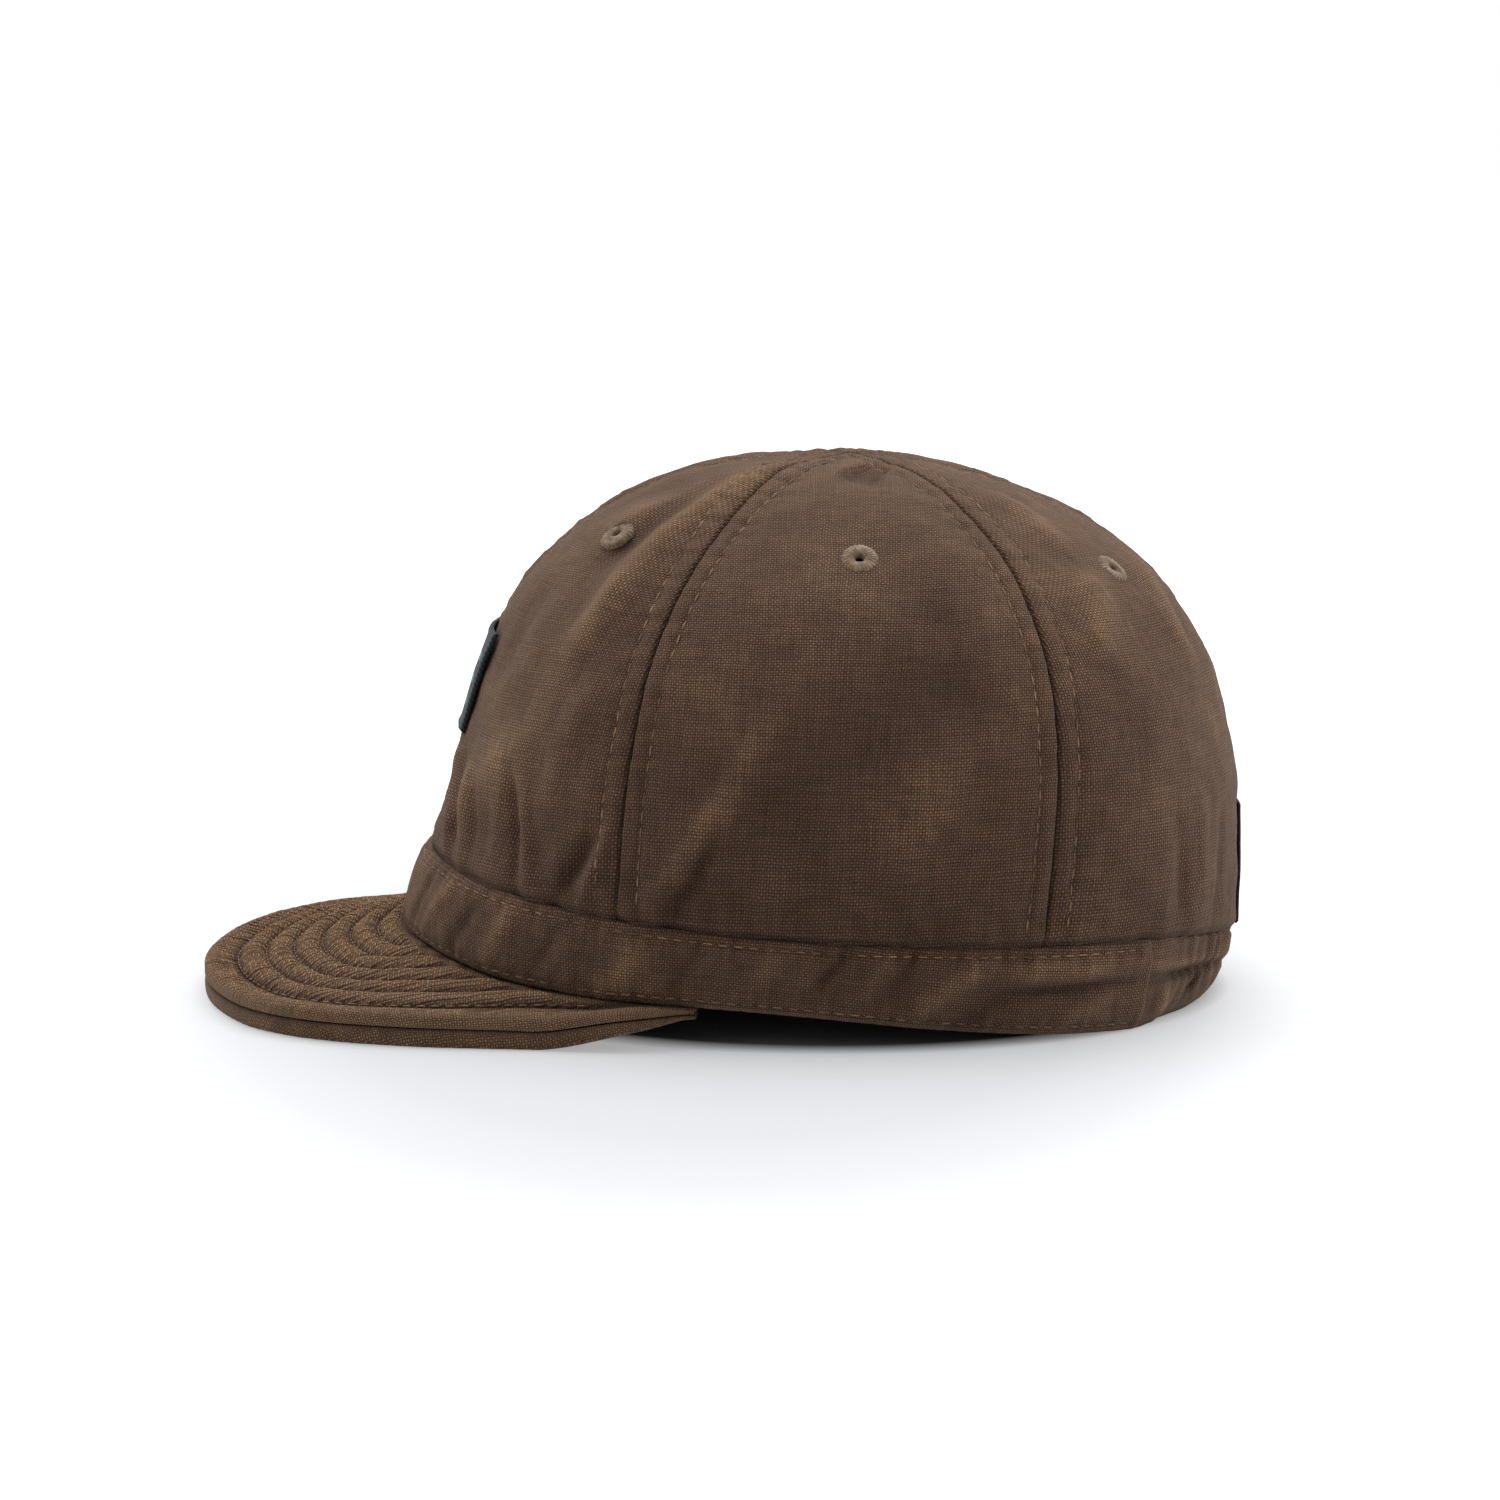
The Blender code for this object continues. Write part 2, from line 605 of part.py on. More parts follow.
def build():
    for old in list(bpy.data.objects):
        bpy.data.objects.remove(old, do_unlink=True)
    for vent in VENTS:
        for side, sign in (("_left", 1), ("_right", -1)):
            turn = vent.turn * sign
            first_seam = vent.first_seam * sign
            last_seam = vent.last_seam * sign
            crown_panel("crown_" + vent.panel + side, first_seam, last_seam, turn, vent.rise)
            eyelet("eyelet_" + vent.panel + side, turn, vent.rise)
    front_band()
    elastic_band()
    brim_upper()
    brim_under()
    sewn_flat("front_patch", 0.0, PATCH_WIDTH, PATCH_BASE, PATCH_HEIGHT, PATCH_THICKNESS, PATCH_CLOTH)
    label_base = seam_height(180.0) + LABEL_ABOVE_SEAM
    sewn_flat("back_label", 180.0, LABEL_WIDTH, label_base, LABEL_HEIGHT, LABEL_THICKNESS, LABEL_CLOTH)


build()
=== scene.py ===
# A short-brim cap of washed brown canvas, lying on a pale floor under soft light.
# Metres, +Z up, brim towards -Y, the wearer's left towards +X.

import math
from collections import namedtuple

import bmesh
import bpy
import numpy as np
from mathutils import Matrix, Vector, noise


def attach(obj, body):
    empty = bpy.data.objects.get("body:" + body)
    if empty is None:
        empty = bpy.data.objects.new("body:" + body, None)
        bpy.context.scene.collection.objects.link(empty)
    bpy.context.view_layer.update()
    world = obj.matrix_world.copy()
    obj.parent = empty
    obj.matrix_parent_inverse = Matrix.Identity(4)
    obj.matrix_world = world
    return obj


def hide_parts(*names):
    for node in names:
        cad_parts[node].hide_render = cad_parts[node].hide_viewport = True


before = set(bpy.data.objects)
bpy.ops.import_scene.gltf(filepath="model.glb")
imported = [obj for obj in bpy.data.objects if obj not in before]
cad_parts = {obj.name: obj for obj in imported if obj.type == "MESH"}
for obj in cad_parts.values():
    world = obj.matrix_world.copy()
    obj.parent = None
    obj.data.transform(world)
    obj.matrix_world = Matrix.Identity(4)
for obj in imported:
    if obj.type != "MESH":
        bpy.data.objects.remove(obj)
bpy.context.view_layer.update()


# The crown: six gores of washed cotton canvas, cut like slices of an orange and sewn edge
# to edge. Each seam is pressed open and stitched down 5 mm to either side, which leaves a
# narrow groove between two low ridges; the wash has drawn the cloth into folds.

CROWN_LENGTH = 0.203
CROWN_WIDTH = 0.168
CROWN_HEIGHT = 0.1305
CROWN_LEAN = 0.009
LEAN_PIVOT = 0.42
BRIM_LENGTH = 0.0490
AXIS_Y = BRIM_LENGTH / 2 + 0.0010
HALF_LENGTH = CROWN_LENGTH / 2
HALF_WIDTH = CROWN_WIDTH / 2
HEM_HEIGHT = 0.0158
BAND_HEIGHT = 0.0204
CLOTH = 0.0015
FOLD_HEIGHT = 0.0024
GAP = 0.0003
FRONT_SEAM = 57.0
BACK_SEAM = 124.5
EYELET_RADIUS = 0.0044
SEAM_ALLOWANCE = 0.0050
RIM_RADIUS = (HALF_LENGTH + HALF_WIDTH) / 2
ARCH_RADIUS = (CROWN_HEIGHT + HALF_WIDTH) / 2
MM = 1000

Ring = namedtuple("Ring", "rise front back side fullness")
CROWN_RINGS = [
    Ring(0, 0.985, 0.990, 0.945, 2.20),
    Ring(10, 0.985, 1.015, 0.970, 2.20),
    Ring(20, 0.920, 0.998, 0.997, 2.20),
    Ring(30, 0.877, 0.950, 0.995, 2.20),
    Ring(40, 0.830, 0.879, 0.945, 2.18),
    Ring(50, 0.759, 0.766, 0.840, 2.15),
    Ring(60, 0.638, 0.601, 0.680, 2.12),
    Ring(70, 0.492, 0.399, 0.490, 2.08),
    Ring(80, 0.310, 0.190, 0.265, 2.04),
    Ring(90, 0.000, 0.000, 0.000, 2.00),
]

Course = namedtuple("Course", "turn hem tall")
BAND_COURSE = [
    Course(0, 1.000, 1.000),
    Course(20, 0.960, 0.990),
    Course(38, 0.760, 1.010),
    Course(55, 0.655, 0.945),
    Course(72, 0.600, 0.875),
    Course(90, 0.475, 0.880),
    Course(110, 0.270, 0.970),
    Course(128, 0.100, 1.040),
    Course(145, 0.000, 1.060),
    Course(165, 0.000, 0.880),
    Course(180, 0.000, 0.660),
]

# Soft folds, from one turn and rise to another; reach is the half width as a share of
# CROWN_HEIGHT, lift the height as a share of FOLD_HEIGHT, bow the bend as a share of length.
Fold = namedtuple("Fold", "turn_a rise_a turn_b rise_b reach lift bow", defaults=[0.0])
CROWN_FOLDS = [
    Fold(50, 80, 28, 61, 0.050, 0.80, 0.04),
    Fold(44, 74, 36, 56, 0.035, -0.70),
    Fold(53, 74, 44, 48, 0.040, 0.85, -0.06),
    Fold(45, 53, 41, 42, 0.035, 0.60),
    Fold(24, 50, 22, 38, 0.045, -0.45),
    Fold(38, 33, 20, 22, 0.050, 0.60, 0.05),
    Fold(47, 38, 43, 24, 0.035, 0.45),
    Fold(35, 27, 40, 14, 0.013, -0.62),
    Fold(38, 25, 43, 13, 0.015, 0.42),
    Fold(32, 25, 35, 14, 0.018, 0.30),
    Fold(52, 21, 45, 11, 0.018, -0.90),
    Fold(55, 22, 50, 11, 0.015, 0.50),
    Fold(11, 28, 20, 16, 0.017, 0.50),
    Fold(16, 27, 23, 14, 0.013, -0.45),
    Fold(22, 27, 26, 14, 0.016, 0.40),
    Fold(26, 24, 29, 13, 0.012, -0.35),
    Fold(78, 34, 63, 15, 0.026, 0.75, 0.04),
    Fold(72, 23, 64, 11, 0.018, -0.90),
    Fold(82, 20, 80, 13, 0.026, 0.45),
    Fold(104, 44, 76, 24, 0.085, -0.42, 0.05),
    Fold(106, 52, 111, 27, 0.050, -0.45),
    Fold(90, 79, 104, 77, 0.060, -1.00),
    Fold(112, 34, 100, 20, 0.060, 0.60),
    Fold(142, 69, 140, 59, 0.035, 0.60),
    Fold(140, 53, 135, 43, 0.040, 0.60),
    Fold(164, 54, 156, 41, 0.042, 0.80, -0.10),
    Fold(146, 22, 149, 9, 0.018, -0.40),
    Fold(159, 21, 157, 9, 0.018, -0.36),
    Fold(152, 22, 153, 9, 0.022, 0.40),
    Fold(180, 5, 180, 21, 0.300, -0.62),
    Fold(-48, 78, -30, 58, 0.050, 0.70, -0.04),
    Fold(-40, 70, -36, 52, 0.040, -0.70),
    Fold(-46, 56, -40, 38, 0.045, 0.70, 0.05),
    Fold(-22, 36, -36, 24, 0.050, 0.70, -0.05),
    Fold(-27, 26, -31, 14, 0.013, -0.55),
    Fold(-32, 25, -36, 13, 0.016, 0.40),
    Fold(-42, 25, -46, 13, 0.014, -0.50),
    Fold(-14, 27, -21, 15, 0.016, 0.45),
    Fold(-66, 19, -74, 29, 0.040, 0.80),
    Fold(-78, 26, -102, 42, 0.090, -0.70, -0.05),
    Fold(-88, 78, -106, 76, 0.060, -0.80),
    Fold(-112, 20, -104, 34, 0.060, 0.60),
    Fold(-138, 64, -143, 50, 0.042, 0.70),
    Fold(-160, 52, -154, 38, 0.045, 0.70, 0.08),
    Fold(-148, 22, -146, 9, 0.018, -0.38),
    Fold(-163, 21, -161, 9, 0.018, -0.34),
    Fold(-180, 5, -180, 21, 0.300, -0.62),
]


def read(table, column, key, level_ends=False):
    """Smooth values of a table's column, where its first column equals key."""
    places = np.array([row[0] for row in table], float)
    values = np.array([getattr(row, column) for row in table], float)
    slopes = np.zeros(len(places))
    slopes[1:-1] = (values[2:] - values[:-2]) / (places[2:] - places[:-2])
    if not level_ends:
        slopes[0] = (values[1] - values[0]) / (places[1] - places[0])
        slopes[-1] = (values[-1] - values[-2]) / (places[-1] - places[-2])
    key = np.clip(key, places[0], places[-1])
    low = np.clip(np.searchsorted(places, key, side="right") - 1, 0, len(places) - 2)
    span = places[low + 1] - places[low]
    share = (key - places[low]) / span
    return (
        (2 * share**3 - 3 * share**2 + 1) * values[low]
        + (share**3 - 2 * share**2 + share) * span * slopes[low]
        + (3 * share**2 - 2 * share**3) * values[low + 1]
        + (share**3 - share**2) * span * slopes[low + 1]
    )


def ease(value, start, end):
    """0 before start, 1 after end, and smooth between."""
    share = np.clip((value - start) / (end - start), 0.0, 1.0)
    return share * share * (3 - 2 * share)


def hump(value, middle, reach):
    """1 at the middle, dying away at reach."""
    return np.exp(-(((value - middle) / reach) ** 2))


def wave(distance, pitch, phase):
    """Even waves along a distance, from -1 to 1."""
    return np.sin(2 * np.pi * distance / pitch + phase)


def in_weave(round_it, up_it):
    """Places in the weave, in millimetres."""
    return np.stack([round_it, up_it], axis=-1) * MM


def rise_at(height):
    return np.degrees(np.arcsin(np.clip(height / CROWN_HEIGHT, -1.0, 1.0)))


def hem_height(turn):
    return HEM_HEIGHT * np.maximum(read(BAND_COURSE, "hem", np.abs(turn), level_ends=True), 0.0)


def seam_height(turn):
    return hem_height(turn) + BAND_HEIGHT * read(BAND_COURSE, "tall", np.abs(turn), level_ends=True)


def ring_radius(turn, rise):
    """Distance of the smooth crown from its axis."""
    angle = np.radians(turn)
    ahead = read(CROWN_RINGS, "front", rise)
    behind = read(CROWN_RINGS, "back", rise)
    long_half = np.maximum(HALF_LENGTH * np.where(np.cos(angle) > 0, ahead, behind), 1e-6)
    side_half = np.maximum(HALF_WIDTH * read(CROWN_RINGS, "side", rise), 1e-6)
    fullness = read(CROWN_RINGS, "fullness", rise)
    along = np.abs(np.cos(angle) / long_half) ** fullness
    across = np.abs(np.sin(angle) / side_half) ** fullness
    return (along + across) ** (-1 / fullness)


def smooth_crown(turn, rise):
    radius = ring_radius(turn, rise)
    angle = np.radians(turn)
    level = np.sin(np.radians(rise))
    axis_y = AXIS_Y + CROWN_LEAN * (level - LEAN_PIVOT)
    return np.stack(
        [radius * np.sin(angle), axis_y - radius * np.cos(angle), CROWN_HEIGHT * level], axis=-1
    )


def unit(vectors):
    return vectors / np.linalg.norm(vectors, axis=-1, keepdims=True)


def crown_normal(turn, rise):
    step = 0.5
    round_it = smooth_crown(turn + step, rise) - smooth_crown(turn - step, rise)
    top = np.minimum(rise + step, 89.9)
    up_it = smooth_crown(turn, top) - smooth_crown(turn, top - 2 * step)
    return unit(np.cross(round_it, up_it))


def beside_fold(here_x, here_y, run_x, run_y, bow=0.0):
    """How far along a fold, from 0 to 1 between its ends, and the distance beside it."""
    length = np.hypot(run_x, run_y)
    along = (here_x * run_x + here_y * run_y) / length**2
    aside = (run_x * here_y - run_y * here_x) / length
    return along, aside - bow * length * (1 - (2 * along - 1) ** 2)


def fold_lift(turn, rise):
    """Height of the soft folds at places on the crown."""
    round_scale = np.radians(1.0) * ring_radius(turn, rise)
    up_scale = np.radians(1.0) * ARCH_RADIUS
    total = 0.0
    for fold in CROWN_FOLDS:
        run_x = (fold.turn_b - fold.turn_a) * round_scale
        run_y = (fold.rise_b - fold.rise_a) * up_scale
        here_x = (turn - fold.turn_a) * round_scale
        here_y = (rise - fold.rise_a) * up_scale
        along, aside = beside_fold(here_x, here_y, run_x, run_y, fold.bow)
        fade = ease(along, -0.25, 0.2) * (1 - ease(along, 0.8, 1.25))
        total = total + fold.lift * FOLD_HEIGHT * fade * hump(aside, 0.0, fold.reach * CROWN_HEIGHT)
    return total


def uneven(points, size, seed):
    """Smooth noise from -1 to 1 over places in space, size metres from hump to hump."""
    shift = Vector((seed * 7.3, seed * 3.1, seed * 5.7))
    return np.array([noise.noise(Vector(point) / size + shift) for point in points.tolist()])


def seam_relief(turn, rise, points):
    """The groove at the gore seams, the ridges beside it, and the puckers of the stitching."""
    seams = np.array([0.0, FRONT_SEAM, BACK_SEAM, 180.0])
    away = np.abs(np.abs(turn)[..., None] - seams)
    nearest = np.argmin(away, axis=-1)
    distance = np.radians(away.min(axis=-1)) * ring_radius(turn, rise)
    length = np.radians(rise) * ARCH_RADIUS
    phase = nearest * 1.7 + np.sin(np.radians(turn)) + 2.5 * uneven(points, 0.025, 3)
    pucker = wave(length, 0.0062, phase) + 0.6 * wave(length, 0.0037, -2 * phase)
    held = hump(distance, 0.0038, 0.0034)
    groove = -0.0010 * hump(distance, 0.0, 0.00042)
    ridge = 0.00030 * hump(distance, 0.0026, 0.0018)
    stitched = -0.00024 * hump(distance, SEAM_ALLOWANCE, 0.0008)
    dip = -0.00055 * hump(distance, 0.0, 0.0075)
    return groove + ridge + stitched + dip + 0.00016 * pucker * held


def crown_face(turn, rise):
    """Points of the crown's cloth, and how high each stands above the smooth crown."""
    smooth = smooth_crown(turn, rise)
    height = smooth[..., 2]
    clear_of_seam = ease(height - seam_height(turn), 0.0, BAND_HEIGHT / 2)
    folds = fold_lift(turn, rise)
    crumple = 0.00055 * uneven(smooth, 0.017, 1) + 0.00030 * uneven(smooth, 0.0070, 2)
    slanting = smooth * np.array([1.0, 1.0, 0.22]) + smooth[..., 2:] * np.array([0.0, 0.25, 0.0])
    gather = 0.00052 * uneven(slanting, 0.0046, 5)
    gather = gather * (1 - ease(height - seam_height(turn), 0.004, 0.024))
    lift = seam_relief(turn, rise, smooth) + folds
    lift = lift * (0.35 + 0.65 * clear_of_seam) + crumple * (0.3 + 0.7 * clear_of_seam) + gather
    tucked = -0.0012 * hump(height - seam_height(turn), 0.0, 0.0011)
    normal = crown_normal(turn, rise)
    normal[..., 2] = normal[..., 2] * clear_of_seam
    return smooth + unit(normal) * (lift + tucked)[..., None], lift


def tint(code):
    """A colour from its sRGB hex code, as the shader's linear values."""
    parts = [int(code[place:place + 2], 16) / 255 for place in (1, 3, 5)]
    linear = [
        part / 12.92 if part <= 0.04045 else ((part + 0.055) / 1.055) ** 2.4 for part in parts
    ]
    return (*linear, 1.0)


def add(tree, kind, inputs=None, **settings):
    """Adds a shader node with its own settings, and with values or links for its sockets.

    A node given for a socket stands for its first output.
    """
    node = tree.nodes.new(kind)
    for name, value in settings.items():
        setattr(node, name, value)
    for socket, value in (inputs or {}).items():
        if isinstance(value, bpy.types.Node):
            value = value.outputs[0]
        if isinstance(value, bpy.types.NodeSocket):
            tree.links.new(value, node.inputs[socket])
        else:
            node.inputs[socket].default_value = value
    return node


def new_material(name, sockets):
    """A material with constant values on its shader's own sockets, its node tree and shader."""
    material = bpy.data.materials.new(name)
    material.use_nodes = True
    shader = material.node_tree.nodes["Principled BSDF"]
    for socket, value in sockets.items():
        shader.inputs[socket].default_value = value
    return material, material.node_tree, shader


def washed_canvas(name, deep, middle, pale):
    """Plain-woven cotton canvas, piece-dyed and stone-washed: matt, with a soft bloom at grazing
    angles, a painted highlight on the thread crowns and painted shade in the gaps, slubs, and the
    colour rubbed off the ridges beside painted shade in the hollows."""
    thread = 0.62          # mm; real threads are about 0.45, drawn coarser so that they show
    material, tree, shader = new_material(name, {
        "Roughness": 0.92, "IOR": 1.46, "Specular IOR Level": 0.25,
        "Sheen Weight": 0.22, "Sheen Roughness": 0.55, "Sheen Tint": tint("#d2b99c"),
    })
    mm = add(tree, "ShaderNodeUVMap", uv_map="weave").outputs["UV"]
    sway = add(tree, "ShaderNodeTexNoise", {"Vector": mm, "Scale": 0.16, "Detail": 2.0})
    swayed = add(
        tree, "ShaderNodeVectorMath",
        {0: sway.outputs["Color"], 1: (0.9, 0.9, 0.0), 2: mm}, operation="MULTIPLY_ADD",
    )
    axes = add(tree, "ShaderNodeSeparateXYZ", {0: swayed})
    waves = []
    for axis in ("X", "Y"):
        angle = {0: axes.outputs[axis], 1: math.pi / thread}
        turned = add(tree, "ShaderNodeMath", angle, operation="MULTIPLY")
        waves.append(add(tree, "ShaderNodeMath", {0: turned}, operation="SINE"))
    crossing = add(tree, "ShaderNodeMath", {0: waves[0], 1: waves[1]}, operation="MULTIPLY")
    under = add(tree, "ShaderNodeMath", {0: crossing, 1: -0.5}, operation="MULTIPLY")
    weave = add(tree, "ShaderNodeMath", {0: crossing, 1: under}, operation="MAXIMUM")
    slubs = []
    for stretch in ((0.10, 1.5, 1.0), (1.5, 0.10, 1.0)):
        long_way = add(tree, "ShaderNodeMapping", {"Vector": swayed, "Scale": stretch})
        slubs.append(add(tree, "ShaderNodeTexNoise", {"Vector": long_way, "Scale": 1.0}))
    slub = add(tree, "ShaderNodeMath", {0: slubs[0], 1: slubs[1]}, operation="ADD")

    place = add(tree, "ShaderNodeTexCoord").outputs["Object"]
    clouds = {"Vector": place, "Scale": 34.0, "Detail": 5.0, "Roughness": 0.62}
    cloud = add(tree, "ShaderNodeTexNoise", clouds)
    specks = {"Vector": place, "Scale": 260.0, "Detail": 3.0, "Roughness": 0.7}
    speck = add(tree, "ShaderNodeTexNoise", specks)
    # The pieces' own value carries rubbed-off colour and painted shade, and random fading and
    # specks are added; the ramp's deep end is where painted shade falls.
    wear_and_shade = add(tree, "ShaderNodeAttribute", attribute_name="wear_and_shade").outputs["Fac"]
    faded_and_shaded = add(tree, "ShaderNodeMath", {0: cloud, 1: 0.52, 2: wear_and_shade}, operation="MULTIPLY_ADD")
    faded_and_shaded = add(tree, "ShaderNodeMath", {0: speck, 1: 0.25, 2: faded_and_shaded}, operation="MULTIPLY_ADD")
    dye_and_shade = add(tree, "ShaderNodeValToRGB", {0: faded_and_shaded})
    dye_and_shade.color_ramp.elements[0].position = 0.45
    dye_and_shade.color_ramp.elements[0].color = tint(deep)
    dye_and_shade.color_ramp.elements[1].position = 1.0
    dye_and_shade.color_ramp.elements[1].color = tint(pale)
    dye_and_shade.color_ramp.elements.new(0.74).color = tint(middle)
    # Painted highlight on the thread crowns and painted shade in the gaps between them, brightening
    # and darkening the colour with the weave.
    crowns = {"Value": weave, "From Min": 0.0, "From Max": 0.9, "To Min": 0.24, "To Max": 2.20}
    thread_light_and_shade = add(tree, "ShaderNodeMapRange", crowns)
    slubby = {"Value": slub, "From Min": 0.7, "From Max": 1.3, "To Min": 0.70, "To Max": 1.32}
    tone = add(tree, "ShaderNodeMapRange", slubby)
    strength = add(tree, "ShaderNodeMath", {0: thread_light_and_shade, 1: tone}, operation="MULTIPLY")
    colour = add(tree, "ShaderNodeVectorMath", {0: dye_and_shade, "Scale": strength}, operation="SCALE")
    tree.links.new(colour.outputs[0], shader.inputs["Base Color"])

    crinkles = {"Vector": mm, "Scale": 0.34, "Detail": 4.0, "Roughness": 0.6}
    crinkle = add(tree, "ShaderNodeTexNoise", crinkles)
    rumpled = add(tree, "ShaderNodeBump", {"Strength": 0.5, "Distance": 0.0011, "Height": crinkle})
    threads = {"Strength": 0.9, "Distance": 0.00032, "Height": weave, "Normal": rumpled}
    woven = add(tree, "ShaderNodeBump", threads)
    tree.links.new(woven.outputs[0], shader.inputs["Normal"])
    return material


canvas = washed_canvas("washed brown cotton canvas", "#3a241a", "#533b2d", "#71563f")


def put_in_scene(name, data):
    """A new object of the scene."""
    thing = bpy.data.objects.new(name, data)
    bpy.context.scene.collection.objects.link(thing)
    return thing


def lay_cloth(name, columns, rows, place, wall, hole=None):
    """A sheet of cloth: an even grid that place() lays on the cap, thickened inwards.

    place takes arrays of across and up, from 0 to 1, and gives points, wear and painted shade
    from 0 to 1 and the place in the weave in millimetres. hole is the middle and radius of an
    opening.
    """
    mesh = bmesh.new()
    bmesh.ops.create_grid(mesh, x_segments=columns, y_segments=rows, size=0.5)
    data = bpy.data.meshes.new(name)
    mesh.to_mesh(data)
    mesh.free()
    flat = np.empty(len(data.vertices) * 3)
    data.vertices.foreach_get("co", flat)
    flat = flat.reshape(-1, 3) + 0.5
    points, wear_and_shade, woven = place(flat[:, 0], flat[:, 1])
    data.vertices.foreach_set("co", points.ravel())
    data.attributes.new("wear_and_shade", "FLOAT", "POINT").data.foreach_set("value", wear_and_shade.ravel())
    corners = np.empty(len(data.loops), int)
    data.loops.foreach_get("vertex_index", corners)
    data.uv_layers.new(name="weave").data.foreach_set("uv", woven[corners].ravel())
    if hole is not None:
        mesh = bmesh.new()
        mesh.from_mesh(data)
        middle, radius = Vector(hole[0]), hole[1]
        inside = [
            face for face in mesh.faces if (face.calc_center_median() - middle).length < radius
        ]
        bmesh.ops.delete(mesh, geom=inside, context="FACES")
        mesh.to_mesh(data)
        mesh.free()
    data.shade_smooth()
    data.materials.append(canvas)
    piece = put_in_scene(name, data)
    if wall:
        thick = piece.modifiers.new("wall", "SOLIDIFY")
        thick.thickness = wall
        thick.offset = -1.0
        thick.use_even_offset = True
        thick.thickness_clamp = 1.0
    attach(piece, "root")
    return piece


def spread(share, ends):
    """Even shares drawn closer together towards both ends."""
    return share - ends * np.sin(2 * np.pi * share) / (2 * np.pi)


Vent = namedtuple("Vent", "panel low_seam high_seam turn rise")
VENTS = [
    Vent("front_left", 0.0, FRONT_SEAM, 32.0, 60.0),
    Vent("side_left", FRONT_SEAM, BACK_SEAM, 92.0, 58.0),
    Vent("back_left", BACK_SEAM, 180.0, 151.0, 54.0),
    Vent("front_right", -FRONT_SEAM, 0.0, -32.0, 60.0),
    Vent("side_right", -BACK_SEAM, -FRONT_SEAM, -92.0, 58.0),
    Vent("back_right", -180.0, -BACK_SEAM, -151.0, 54.0),
]
TOP_RISE = 89.75
PANEL_TUCK = 0.0004


def vent_place(vent):
    """The middle of a vent on the crown's cloth, and the way that it faces."""
    turn = np.array([vent.turn])
    rise = np.array([vent.rise])
    return crown_face(turn, rise)[0][0], crown_normal(turn, rise)[0]


for vent in VENTS:
    middle_turn = (vent.low_seam + vent.high_seam) / 2

    def place_panel(across, up, vent=vent, middle_turn=middle_turn):
        across = spread(across, 0.55)
        bare = vent.low_seam + (vent.high_seam - vent.low_seam) * across
        low = rise_at(seam_height(bare) - PANEL_TUCK)
        rise = low + (TOP_RISE - low) * spread(up, 0.25)
        points, lift = crown_face(bare, rise)
        # Paler on the fold ridges where the colour is rubbed off, with painted shade in the fold
        # hollows and seam grooves, in a narrow line along the seam to the band and, fainter, over
        # the crown's lowest few centimetres.
        wear_and_shade = np.clip(0.34 + lift / 0.0105, 0.0, 0.75)
        above = points[:, 2] - seam_height(bare)
        wear_and_shade = wear_and_shade - 0.40 * hump(above, 0.0, 0.0008) - 0.10 * (1 - ease(above, 0.004, 0.030))
        round_it = np.radians(bare - middle_turn) * ring_radius(bare, rise)
        up_it = np.radians(rise) * ARCH_RADIUS
        return points, wear_and_shade, in_weave(round_it, up_it)

    panel = lay_cloth(
        "crown_" + vent.panel + "_canvas", 130, 150, place_panel, CLOTH,
        hole=(vent_place(vent)[0], EYELET_RADIUS * 0.55),
    )
    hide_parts("crown_" + vent.panel)


# The band: a strip of the same canvas folded double, sewn to the crown's lower edge and
# turned up, with one row of stitching below its seam and one above its hem. Washing has
# shrunk the stitching more than the cloth, so the strip stands in slanting ripples.

BAND_WALL = 0.0022
BAND_PROUD = 0.0009
BAND_ROUNDING = 0.6
HEM_ROW = 0.0020       # from the hem to its row of stitches
SEAM_ROW = 0.0022      # from the seam to its row of stitches
ELASTIC_START = 143.0

